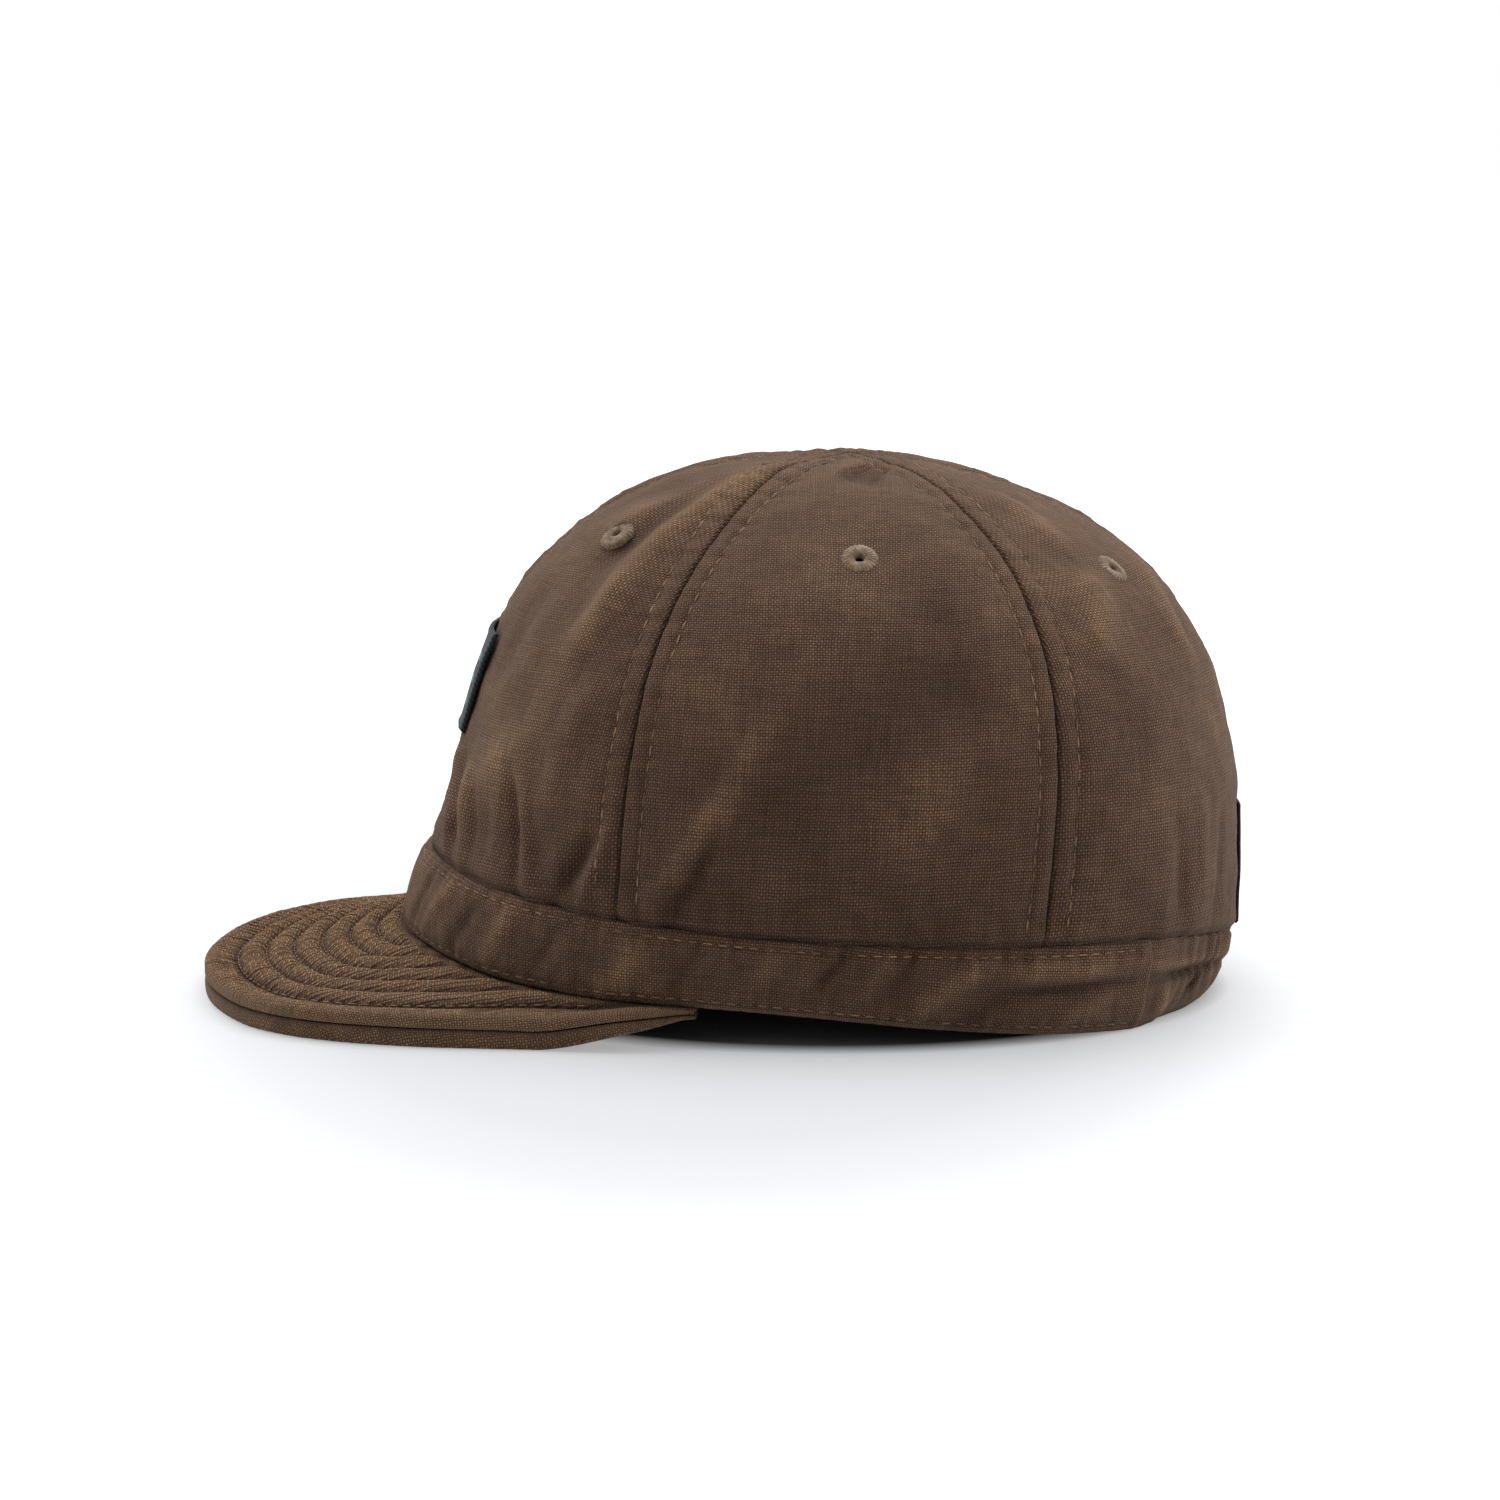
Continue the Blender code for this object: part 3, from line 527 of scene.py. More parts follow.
# Slanting creases of the band: turn and share of its height at both ends, half width and
# height in metres.
Crease = namedtuple("Crease", "turn_a share_a turn_b share_b reach lift")
BAND_CREASES = [
    Crease(6, 0.10, 11, 0.80, 0.0022, 0.0007),
    Crease(14, 0.15, 19, 0.85, 0.0018, -0.0007),
    Crease(20, 0.20, 26, 0.90, 0.0024, 0.0009),
    Crease(27, 0.10, 33, 0.80, 0.0018, -0.0008),
    Crease(35, 0.15, 41, 0.90, 0.0026, 0.0008),
    Crease(44, 0.20, 49, 0.85, 0.0018, -0.0006),
    Crease(55, 0.05, 62, 0.70, 0.0030, 0.0006),
    Crease(66, 0.20, 71, 0.90, 0.0018, -0.0005),
    Crease(76, 0.10, 82, 0.80, 0.0026, 0.0005),
    Crease(89, 0.45, 94, 0.92, 0.0018, -0.0009),
    Crease(96, 0.30, 100, 0.85, 0.0024, 0.0005),
    Crease(101, 0.50, 105, 0.95, 0.0017, -0.0006),
    Crease(104, 0.15, 115, 0.80, 0.0028, 0.0010),
    Crease(112, 0.05, 120, 0.55, 0.0022, -0.0006),
    Crease(118, 0.70, 136, 0.74, 0.0024, 0.0009),
    Crease(121, 0.50, 140, 0.57, 0.0015, -0.0015),
    Crease(128, 0.15, 136, 0.45, 0.0024, 0.0006),
    Crease(-8, 0.20, -12, 0.80, 0.0022, -0.0006),
    Crease(-17, 0.15, -22, 0.85, 0.0024, 0.0008),
    Crease(-26, 0.10, -31, 0.80, 0.0018, -0.0008),
    Crease(-36, 0.20, -42, 0.90, 0.0026, 0.0007),
    Crease(-50, 0.10, -56, 0.80, 0.0022, -0.0006),
    Crease(-62, 0.20, -68, 0.90, 0.0026, 0.0006),
    Crease(-78, 0.10, -84, 0.70, 0.0022, -0.0006),
    Crease(-92, 0.30, -98, 0.90, 0.0026, 0.0007),
    Crease(-108, 0.10, -117, 0.75, 0.0026, 0.0009),
    Crease(-123, 0.50, -140, 0.57, 0.0015, -0.0014),
    Crease(-127, 0.15, -134, 0.45, 0.0024, 0.0006),
]


def band_face(turn, share, lift=0.0):
    """Points of the band's cloth; share runs from 0 at the hem to 1 at the seam."""
    hem = hem_height(turn)
    top = seam_height(turn) - GAP / 2
    height = hem + (top - hem) * share
    rounded_top = 1 - BAND_ROUNDING * ease(share, 0.75, 1.0)
    rounded_hem = 1 - BAND_ROUNDING * (1 - ease(share, 0.0, 0.25))
    shoulder = BAND_PROUD * rounded_top * rounded_hem
    normal = crown_normal(turn, rise_at(height))
    normal[..., 2] = 0.0
    points = smooth_crown(turn, rise_at(height)) + unit(normal) * (shoulder + lift)[..., None]
    points[..., 2] = height
    return points


def band_relief(turn, share):
    """Height of the band's creases."""
    tall = seam_height(turn) - hem_height(turn)
    round_it = np.radians(turn) * RIM_RADIUS
    up_it = share * tall
    total = 0.0
    for crease in BAND_CREASES:
        start_x = np.radians(crease.turn_a) * RIM_RADIUS
        start_y = crease.share_a * tall
        run_x = np.radians(crease.turn_b) * RIM_RADIUS - start_x
        run_y = (crease.share_b - crease.share_a) * tall
        along, aside = beside_fold(round_it - start_x, up_it - start_y, run_x, run_y)
        fade = ease(along, -0.25, 0.25) * (1 - ease(along, 0.75, 1.25))
        total = total + crease.lift * fade * hump(aside, 0.0, crease.reach)
    return total


def band_place(turn, share):
    """Points of the worked band, their height above the plain one, and the weave."""
    tall = seam_height(turn) - hem_height(turn)
    up_it = share * tall
    plain = band_face(turn, share)
    phase = 3.0 * uneven(plain, 0.020, 8)
    round_it = np.radians(turn) * RIM_RADIUS
    pucker = 0.00016 * wave(round_it, 0.0052, phase) + 0.00008 * wave(round_it, 0.0031, -2 * phase)
    near_rows = hump(up_it, tall - 0.0024, 0.0026) + hump(up_it, HEM_ROW, 0.0026)
    stitched = -0.00042 * (hump(up_it, tall - SEAM_ROW, 0.0007) + hump(up_it, HEM_ROW, 0.0007))
    rolled = -0.0014 * (hump(share, 1.0, 0.050) + hump(share, 0.0, 0.045))
    crumple = 0.00034 * uneven(plain, 0.011, 9) + 0.00020 * uneven(plain, 0.005, 10)
    lift = band_relief(turn, share) + pucker * near_rows + stitched + crumple
    return band_face(turn, share, lift + rolled), lift, in_weave(round_it, up_it)


band_reach = ELASTIC_START - math.degrees(GAP / 2 / HALF_LENGTH)


def place_band(across, up):
    turn = band_reach * (2 * across - 1)
    points, lift, woven = band_place(turn, spread(up, 0.5))
    # Paler on the crease ridges where the colour is rubbed off, with painted shade in the creases,
    # the stitched grooves and the narrow line where the band meets the crown.
    wear_and_shade = np.clip(0.34 + lift / 0.0044, 0.0, 0.80) - 0.40 * hump(up, 1.0, 0.04)
    return points, wear_and_shade, woven


band = lay_cloth("band_canvas", 560, 26, place_band, BAND_WALL)
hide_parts("band")


# The back of the band: the same folded strip, gathered over a flat elastic that pulls the
# cap to the head. Its foot tucks inwards, so it rests on a fold, with a crease above it.

PLEAT_PITCH = 0.0060
PLEAT_DEPTH = 0.0007
TUCK_DEPTH = 0.0030
CREASE_DEPTH = 0.0011
CREASE_PLACE = 0.55
elastic_start = ELASTIC_START + math.degrees(GAP / 2 / HALF_LENGTH)
elastic_arc = math.radians(180 - elastic_start) * HALF_LENGTH
pleats = 2 * round(elastic_arc / PLEAT_PITCH)


def place_elastic(across, up):
    up = spread(up, 0.4)
    turn = elastic_start + (360 - 2 * elastic_start) * across
    signed = np.where(turn <= 180, turn, turn - 360)
    middle = 1 - np.abs(2 * across - 1)
    inward = ease(middle, 0.0, 0.06) * (0.35 + 0.65 * ease(middle, 0.22, 0.62))
    plain = band_face(signed, up)
    sway = 0.10 * uneven(plain, 0.012, 11)
    upright = plain * np.array([1.0, 1.0, 0.18])
    gather = PLEAT_DEPTH * np.cos(2 * np.pi * pleats * (across + sway * 0.35)) * inward
    gather = 0.6 * gather + PLEAT_DEPTH * 1.3 * uneven(upright, 0.0062, 13) * inward
    fine = 0.00016 * uneven(upright, 0.0026, 18) * inward
    crease_place = CREASE_PLACE + 0.12 * sway
    overhang = 0.5 * hump(up, crease_place + 0.13, 0.08) - 1.8 * hump(up, crease_place, 0.055)
    crease = CREASE_DEPTH * overhang * (1 - 0.65 * ease(middle, 0.30, 0.65))
    foot = -TUCK_DEPTH * 1.15 * (1 - up) * ease(middle, 0.0, 0.25)
    foot = foot - 0.0007 * hump(up, 1.0, 0.30) * ease(middle, 0.1, 0.4)
    normal = crown_normal(signed, rise_at(plain[:, 2]))
    normal[:, 2] = 0.0
    ridge = 0.0010 * hump(turn, 148.5, 1.5) * hump(up, 0.22, 0.25)
    slit = -0.0022 * hump(turn - 10 * (up - 0.35), 157.0, 1.1) * hump(up, 0.36, 0.10)
    crumple = 0.00035 * uneven(plain, 0.007, 12) + ridge + slit
    rolled = -0.0010 * (hump(up, 1.0, 0.045) + hump(up, 0.0, 0.045))
    lean = (gather + fine) * ease(up, 0.0, 0.3) + crease * ease(middle, 0.0, 0.25) + foot + crumple
    points = plain + unit(normal) * (lean + rolled - BAND_PROUD)[:, None]
    round_it = np.radians(turn) * HALF_LENGTH
    up_it = up * (seam_height(signed) - hem_height(signed))
    # Paler on the crests of the gathers where the colour is rubbed off, with painted shade in the
    # pleat valleys and under the crease.
    wear_and_shade = np.clip(0.26 + (gather + fine + crease + crumple) / 0.0026, 0.0, 0.8)
    return points, wear_and_shade, in_weave(round_it, up_it)


band_back = lay_cloth("band_back_canvas", 260, 30, place_elastic, BAND_WALL)
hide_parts("band_back")


# The brim's upper cover: canvas over a thin wadding, quilted in rows that follow the edge
# and run together at the tips. Each row has pulled the cloth into fine crosswise puckers.

BRIM_EDGE = 0.008
BRIM_LIP = 0.0045
BRIM_SHELL = 0.0020
BRIM_INSET = 0.0012
BRIM_FOOT = 0.0030
BRIM_DISH = 1.3
ROLL_HEIGHT = 0.0015
ROLL_PITCH = 0.0068
OUTER_ROLL = 0.0082
BRIM_TUCK = BAND_PROUD + CLOTH / 2
BRIM_TIP = 70.0
EDGE_ROUNDING = 0.0034
EDGE_WRAP = 0.006      # cloth that goes round the edge
UNDER_WRAP = 0.010     # cloth drawn under the cover

Rib = namedtuple("Rib", "turn reach heading lift edge")
BRIM_RIBS = [
    Rib(0, 1.000, 0.0, 0.00, 1.00),
    Rib(10, 0.995, 2.2, 0.00, 1.00),
    Rib(20, 1.002, 4.6, 0.00, 1.00),
    Rib(30, 1.000, 8.8, 0.00, 1.00),
    Rib(38, 0.920, 12.0, 0.00, 1.00),
    Rib(45, 0.655, 19.2, 0.00, 1.00),
    Rib(55, 0.350, 24.0, 0.00, 0.95),
    Rib(63, 0.190, 38.0, 0.26, 0.70),
    Rib(70, 0.028, 62.0, 0.46, 0.22),
]


def brim_rib(turn):
    """Where the ribs of the brim start under the band, where they end, and their heights."""
    key = np.abs(turn)
    heading = np.radians(read(BRIM_RIBS, "heading", key)) * np.where(turn >= 0, 1, -1)
    way = np.stack([np.sin(heading), -np.cos(heading), np.zeros_like(heading)], axis=-1)
    springing = band_face(turn, np.zeros_like(turn))
    springing[..., 2] = 0.0
    start = springing - way * BRIM_TUCK
    reach = BRIM_LENGTH * read(BRIM_RIBS, "reach", key, level_ends=True)
    end = springing + way * reach[..., None]
    lift = HEM_HEIGHT * np.maximum(read(BRIM_RIBS, "lift", key, level_ends=True), 0.0)
    edge = BRIM_EDGE * read(BRIM_RIBS, "edge", key, level_ends=True)
    return start, end, lift, edge


def edge_outward(turn):
    """Level direction away from the brim, square to its outer edge."""
    tangent = unit(brim_rib(turn + 0.5)[1] - brim_rib(turn - 0.5)[1])
    return np.stack([tangent[:, 1], -tangent[:, 0]], axis=-1)


edge_turns = np.linspace(-BRIM_TIP, BRIM_TIP, 400)
edge_line = brim_rib(edge_turns)[1][:, :2]


def from_edge(points):
    """Distance in plan from the brim's outer edge."""
    nearest = [
        np.sqrt(((part[:, None, :2] - edge_line[None]) ** 2).sum(axis=-1)).min(axis=1)
        for part in np.array_split(points, max(len(points) // 4000, 1))
    ]
    return np.concatenate(nearest)


def roll_profile(distance):
    """Rolls that follow the edge: 0 in the stitched grooves, 1 on the crests between."""
    rows = np.maximum(distance - OUTER_ROLL, 0.0) / ROLL_PITCH
    inner = np.abs(np.sin(np.pi * rows))
    outer = np.sin(np.pi * np.clip(0.5 + 0.5 * distance / OUTER_ROLL, 0.0, 1.0))
    return np.where(distance < OUTER_ROLL, outer, inner) ** 0.62


def brim_slope(share, turn, lift, edge):
    """Height of the brim's face in the grooves; share runs from 0 under the band to 1."""
    inner = hem_height(turn) - GAP
    outer = lift + edge - ROLL_HEIGHT * edge / BRIM_EDGE
    return outer + (inner - outer) * (1 - share) ** BRIM_DISH


def brim_middle(share, turn, lift, edge):
    """Height of the groove between the brim's two covers."""
    outer = lift + BRIM_LIP * edge / BRIM_EDGE
    inner = hem_height(turn) - GAP - (ROLL_HEIGHT + BRIM_SHELL) * edge / BRIM_EDGE
    return outer + (inner - outer) * (1 - share) ** BRIM_DISH


def round_brim(turn, reach):
    """Distance round the brim, for its puckers, at a share of its reach."""
    return np.radians(turn) * (HALF_LENGTH + BRIM_LENGTH * reach * 0.75)


top_share = 0.80       # the quilted face ends at this share of the way round the cover
edge_share = 0.90      # and the rolled edge at this; the rest is the hidden underside


def place_cover(across, up):
    turn = BRIM_TIP * (2 * across - 1)
    start, end, lift, edge = brim_rib(turn)
    along = end - start
    length = np.linalg.norm(along, axis=-1)
    plump = edge / BRIM_EDGE
    roll = ROLL_HEIGHT * plump
    last = 1 - np.minimum(EDGE_ROUNDING * plump / length, 0.4)
    on_top = np.clip(up / top_share, 0, 1) * last
    round_edge = np.clip((up - top_share) / (edge_share - top_share), 0, 1)
    below = np.clip((up - edge_share) / (1 - edge_share), 0, 1)
    flat_place = start + along * on_top[:, None]
    distance = from_edge(flat_place)
    shown = ease(on_top * length, BRIM_TUCK, BRIM_TUCK + 0.0025)
    rolls = roll_profile(distance)
    top = brim_slope(on_top, turn, lift, edge) + roll * shown * (1.80 * rolls - 0.80)
    lip_height = lift + BRIM_LIP * plump + GAP / 2
    inset = 1 - BRIM_INSET / length
    crest = brim_slope(last, turn, lift, edge) + roll
    half_tall = (crest - lip_height) / 2
    swing = round_edge * np.pi
    edge_reach = last + (inset - last) * round_edge + (1 - last) * 0.75 * np.sin(swing) ** 0.8
    edge_height = lip_height + half_tall * (1 + np.cos(swing))
    under = inset * (1 - below)
    under_height = brim_middle(under, turn, lift, edge) + GAP / 2
    reach = np.where(up <= top_share, on_top, np.where(up <= edge_share, edge_reach, under))
    height = np.where(up <= top_share, top, np.where(up <= edge_share, edge_height, under_height))
    points = start + along * np.minimum(reach, 1.0)[:, None]
    points[:, 2] = height
    round_it = round_brim(turn, reach)
    phase = 2.0 * uneven(points, 0.016, 14)
    fullness = 0.80 + 0.7 * np.abs(uneven(points, 0.007, 19))
    row = np.floor(np.maximum(distance - OUTER_ROLL, -0.001) / ROLL_PITCH)
    pucker = 0.35 * wave(round_it, 0.0037, phase + row * 2.1) + wave(round_it, 0.0021, row - phase)
    at_front = 0.16 + 0.84 * hump(np.abs(turn), 8, 26)
    shown = shown * np.where(up <= top_share, 1.0, np.where(up <= edge_share, 1 - round_edge, 0.0))
    ripple = 0.00056 * pucker * fullness * (1 - 0.30 * rolls) * at_front * shown * plump
    crumple = (0.00022 * uneven(points, 0.011, 15) + 0.00008 * uneven(points, 0.005, 16)) * shown
    points[:, 2] = points[:, 2] + ripple + crumple
    # Paler on the crests of the rolls and puckers where the colour is rubbed off, with painted
    # shade in the quilted grooves.
    faded_and_shaded = 0.18 + 0.46 * rolls - 0.60 * hump(rolls, 0.0, 0.50) + ripple / 0.0010
    wear_and_shade = np.where(up <= edge_share, faded_and_shaded, 0.2)
    wrapped = round_edge * EDGE_WRAP + below * UNDER_WRAP
    cut = points[:, :2] + edge_outward(turn) * wrapped[:, None]
    return points, np.clip(wear_and_shade, 0, 0.8), cut * MM


def close_tips(cover):
    """Fills the open ends of a brim cover and turns its faces outwards."""
    mesh = bmesh.new()
    mesh.from_mesh(cover.data)
    tips = [edge for edge in mesh.edges if edge.is_boundary]
    bmesh.ops.holes_fill(mesh, edges=tips, sides=0)
    bmesh.ops.recalc_face_normals(mesh, faces=mesh.faces)
    mesh.to_mesh(cover.data)
    mesh.free()


brim_upper = lay_cloth("brim_upper_canvas", 720, 116, place_cover, None)
close_tips(brim_upper)
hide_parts("brim_upper")


# The brim's under cover: plain canvas, whose turned-in edge makes the lip that the cap
# lies on. It is sewn to the upper cover along the groove that runs round the edge.

lip_share = 0.40       # the hidden top face ends at this share of the way round the cover
foot_share = 0.70      # and the rolled lip at this; the rest is the sole


def place_sole(across, up):
    turn = BRIM_TIP * (2 * across - 1)
    start, end, lift, edge = brim_rib(turn)
    along = end - start
    length = np.linalg.norm(along, axis=-1)
    lip = BRIM_LIP * edge / BRIM_EDGE
    inset = 1 - BRIM_INSET / length
    foot = np.maximum(1 - BRIM_FOOT / length, inset / 2)
    on_top = np.clip(up / lip_share, 0, 1) * inset
    round_lip = np.clip((up - lip_share) / (foot_share - lip_share), 0, 1)
    below = np.clip((up - foot_share) / (1 - foot_share), 0, 1)
    swing = round_lip * np.pi
    lip_reach = inset + (1 - inset) * np.sin(swing) ** 0.6
    lip_reach = lip_reach - (inset - foot) * ease(round_lip, 0.7, 1)
    lip_height = lift + (lip - GAP / 2) * (1 + np.cos(swing)) / 2
    shell = BRIM_SHELL * edge / BRIM_EDGE
    under = foot * (1 - below)
    middle = brim_middle(under, turn, lift, edge)
    sole = np.minimum(np.maximum(middle - shell, lift), middle - shell / 2)
    sole = lift + (sole - lift) * ease(below, 0.0, 0.15)
    top = brim_middle(on_top, turn, lift, edge) - GAP / 2
    reach = np.where(up <= lip_share, on_top, np.where(up <= foot_share, lip_reach, under))
    height = np.where(up <= lip_share, top, np.where(up <= foot_share, lip_height, sole))
    points = start + along * np.minimum(reach, 1.0)[:, None]
    points[:, 2] = height
    round_it = round_brim(turn, reach)
    shown = np.sin(swing)
    crumple = 0.00022 * uneven(points, 0.009, 16) * shown
    pucker = 0.00012 * wave(round_it, 0.0034, 3 * uneven(points, 0.02, 17)) * shown
    points[:, 2] = np.maximum(points[:, 2] + crumple + pucker, 0.0)
    # Paler on the rounded lip, with painted shade on the hidden top face and on the sole
    # underneath.
    wear_and_shade = np.clip(0.24 + 0.22 * shown, 0, 0.8)
    cut = points[:, :2] + edge_outward(turn) * (round_lip * EDGE_WRAP)[:, None]
    return points, wear_and_shade, cut * MM


brim_under = lay_cloth("brim_under_canvas", 300, 60, place_sole, None)
close_tips(brim_under)
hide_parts("brim_under")


# The stitching: thick cotton-wrapped thread in long lockstitches, a shade paler than the
# cloth. Each stitch is a short slug of thread that bites into the canvas at both ends.

STITCH_PITCH = 0.0038
STITCH_LENGTH = 0.0027
THREAD_RADIUS = 0.00021
QUILT_ROWS = 6
ROOT_CLEARANCE = 0.0010
BAND_CLEARANCE = 0.0015
FEWEST_PLACES = 20

# Core-spun cotton thread: dull and a little fuzzy, paler where the wash has rubbed it.
thread, tree, shader = new_material("core-spun cotton thread", {
    "Roughness": 0.75, "Specular IOR Level": 0.25, "Sheen Weight": 0.08,
})
spot = add(tree, "ShaderNodeTexCoord").outputs["Object"]
patchy = add(tree, "ShaderNodeTexNoise", {"Vector": spot, "Scale": 90.0, "Detail": 3.0})
strand = add(tree, "ShaderNodeValToRGB", {0: patchy})
strand.color_ramp.elements[0].position = 0.35
strand.color_ramp.elements[0].color = tint("#574130")
strand.color_ramp.elements[1].position = 0.65
strand.color_ramp.elements[1].color = tint("#8b6f50")
tree.links.new(strand.outputs[0], shader.inputs["Base Color"])
fibre = add(tree, "ShaderNodeTexNoise", {"Vector": spot, "Scale": 2600.0, "Detail": 2.0})
fuzzy = add(tree, "ShaderNodeBump", {"Strength": 0.6, "Distance": 0.0002, "Height": fibre})
tree.links.new(fuzzy.outputs[0], shader.inputs["Normal"])


def stitch_rows(name, rows, length=STITCH_LENGTH, pitch=STITCH_PITCH, sink=0.3):
    """Slugs of thread along rows of (points, normals), in one piece."""
    data = bpy.data.meshes.new(name)
    whole = bmesh.new()
    for points, normals in rows:
        mesh = bmesh.new()
        steps = np.linalg.norm(np.diff(points, axis=0), axis=1)
        run = np.concatenate([[0.0], np.cumsum(steps)])
        for start in np.arange(pitch / 2, run[-1] - length, pitch):
            ends = []
            for at in (start, start + length, start + length / 2):
                ends.append(Vector([np.interp(at, run, points[:, axis]) for axis in range(3)]))
            up = Vector([np.interp(start + length / 2, run, normals[:, axis]) for axis in range(3)])
            along = (ends[1] - ends[0]).normalized()
            aside = up.cross(along).normalized()
            up = along.cross(aside)
            middle = (ends[0] + ends[1]) / 2 + up * THREAD_RADIUS * (1 - 2 * sink)
            turned = Matrix((aside, up, along)).transposed().to_4x4()
            size = Matrix.Diagonal((THREAD_RADIUS, THREAD_RADIUS, length / 2, 1.0))
            bmesh.ops.create_uvsphere(
                mesh, u_segments=6, v_segments=5, radius=1.0,
                matrix=Matrix.Translation(middle) @ turned @ size,
            )
        mesh.to_mesh(data)
        mesh.free()
        whole.from_mesh(data)
    whole.to_mesh(data)
    whole.free()
    data.shade_smooth()
    data.materials.append(thread)
    piece = put_in_scene(name, data)
    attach(piece, "root")
    return piece


crown_rows = []
for seam in (0.0, FRONT_SEAM, BACK_SEAM, 180.0, -FRONT_SEAM, -BACK_SEAM):
    for side in (-1, 1):
        rise = np.linspace(float(rise_at(seam_height(np.array(seam)))) + 1.0, 84.0, 260)
        radius = ring_radius(np.full_like(rise, seam), rise)
        turn = seam + side * np.degrees(SEAM_ALLOWANCE / radius)
        turn = np.where(turn > 180, turn - 360, turn)
        crown_rows.append((crown_face(turn, rise)[0], crown_normal(turn, rise)))
stitch_rows("crown_stitching", crown_rows)

band_rows = []
for from_hem in (True, False):
    turn = np.linspace(-band_reach + 0.4, band_reach - 0.4, 1500)
    tall = seam_height(turn) - hem_height(turn)
    share = HEM_ROW / tall if from_hem else 1 - SEAM_ROW / tall
    points = band_place(turn, share)[0]
    normal = crown_normal(turn, rise_at(points[:, 2]))
    normal[:, 2] = 0.0
    band_rows.append((points, unit(normal)))
stitch_rows("band_stitching", band_rows, length=0.0024, pitch=0.0036)

rib_turns = np.linspace(-BRIM_TIP + 1, BRIM_TIP - 1, 560)
rib_starts, rib_ends, rib_lifts, rib_edges = brim_rib(rib_turns)
rib_shares = np.linspace(0.02, 0.98, 96)
rib_ways = rib_ends - rib_starts
rib_places = rib_starts[:, None] + rib_ways[:, None] * rib_shares[:, None]
rib_depths = from_edge(rib_places.reshape(-1, 3)).reshape(len(rib_turns), -1)
quilt_rows = []
for row in range(QUILT_ROWS):
    groove = OUTER_ROLL + row * ROLL_PITCH
    line = []
    for place, depths in enumerate(rib_depths):
        share = np.interp(-groove, -depths, rib_shares)
        clear = np.linalg.norm(rib_ways[place]) * share - BRIM_TUCK
        if depths[0] > groove + ROOT_CLEARANCE and clear > BAND_CLEARANCE:
            point = rib_starts[place] + rib_ways[place] * share
            point[2] = brim_slope(share, rib_turns[place], rib_lifts[place], rib_edges[place])
            line.append(point)
    if len(line) > FEWEST_PLACES:
        quilt_rows.append((np.array(line), np.tile([0.0, 0.0, 1.0], (len(line), 1))))
stitch_rows("brim_stitching", quilt_rows, length=0.0022, pitch=0.0034, sink=0.45)


# The vents: round holes worked over with thread in close radial stitches, like a small
# buttonhole, so that each is a low ring, paler than the cloth and ribbed towards its hole.

EYELET_BORE = 0.0012
EYELET_RISE = 0.0004

# Embroidered cotton thread: many fine strands side by side, matt, in flecks of two browns.
embroidery, tree, shader = new_material("embroidered cotton thread", {
    "Roughness": 0.8, "Sheen Weight": 0.3,
})
spot = add(tree, "ShaderNodeTexCoord").outputs["Object"]
tuft = add(tree, "ShaderNodeTexNoise", {"Vector": spot, "Scale": 900.0, "Detail": 3.0})
strand = add(tree, "ShaderNodeValToRGB", {0: tuft})
strand.color_ramp.elements[0].position = 0.3
strand.color_ramp.elements[0].color = tint("#4d3a29")
strand.color_ramp.elements[1].position = 0.7
strand.color_ramp.elements[1].color = tint("#856c4f")
tree.links.new(strand.outputs[0], shader.inputs["Base Color"])
fuzzy = add(tree, "ShaderNodeBump", {"Strength": 0.5, "Distance": 0.0003, "Height": tuft})
tree.links.new(fuzzy.outputs[0], shader.inputs["Normal"])

wraps = 26
for vent in VENTS:
    half = CLOTH / 2 + EYELET_RISE
    profile = [
        (EYELET_BORE * 0.95, -half * 0.5),
        (EYELET_BORE * 0.85, half * 0.2),
        (EYELET_BORE * 1.15, half * 0.85),
        (EYELET_BORE * 1.80, half * 1.10),
        (EYELET_RADIUS * 0.72, half * 1.00),
        (EYELET_RADIUS * 0.92, half * 0.72),
        (EYELET_RADIUS * 0.99, half * 0.25),
        (EYELET_RADIUS * 0.97, -half * 0.5),
        (EYELET_RADIUS * 0.70, -half * 0.95),
    ]
    mesh = bmesh.new()
    corners = [mesh.verts.new((radius, 0.0, height)) for radius, height in profile]
    edges = [mesh.edges.new(pair) for pair in zip(corners[-1:] + corners, corners)]
    bmesh.ops.spin(
        mesh, geom=corners + edges, cent=(0, 0, 0), axis=(0, 0, 1),
        angle=2 * math.pi, steps=wraps * 6, use_merge=True,
    )
    middle, turned = vent_place(vent)
    for vert in mesh.verts:
        angle = math.atan2(vert.co.y, vert.co.x)
        radius = math.hypot(vert.co.x, vert.co.y)
        rib = abs(math.sin(angle * wraps / 2 + 0.35 * math.sin(5 * angle)))
        out = min((radius - EYELET_BORE * 0.8) / (EYELET_RADIUS - EYELET_BORE), 1.0)
        round_it = Vector((math.cos(angle) * 1.6, math.sin(angle) * 1.6, vent.turn))
        wander = 1 + 0.05 * noise.noise(round_it)
        grow = (1 + 0.05 * (rib - 0.6) * out) * wander
        vert.co.x *= grow
        vert.co.y *= grow
        if vert.co.z > 0:
            vert.co.z += 0.00022 * (rib - 0.5)
    bmesh.ops.recalc_face_normals(mesh, faces=mesh.faces)
    if mesh.calc_volume(signed=True) < 0:
        bmesh.ops.reverse_faces(mesh, faces=mesh.faces)
    stand = Vector(turned).to_track_quat("Z", "Y").to_matrix().to_4x4()
    mesh.transform(Matrix.Translation(middle - turned * CLOTH / 2) @ stand)
    data = bpy.data.meshes.new("eyelet")
    mesh.to_mesh(data)
    mesh.free()
    data.shade_smooth()
    data.materials.append(embroidery)
    ring = put_in_scene("eyelet_" + vent.panel + "_embroidery", data)
    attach(ring, "root")
    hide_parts("eyelet_" + vent.panel)


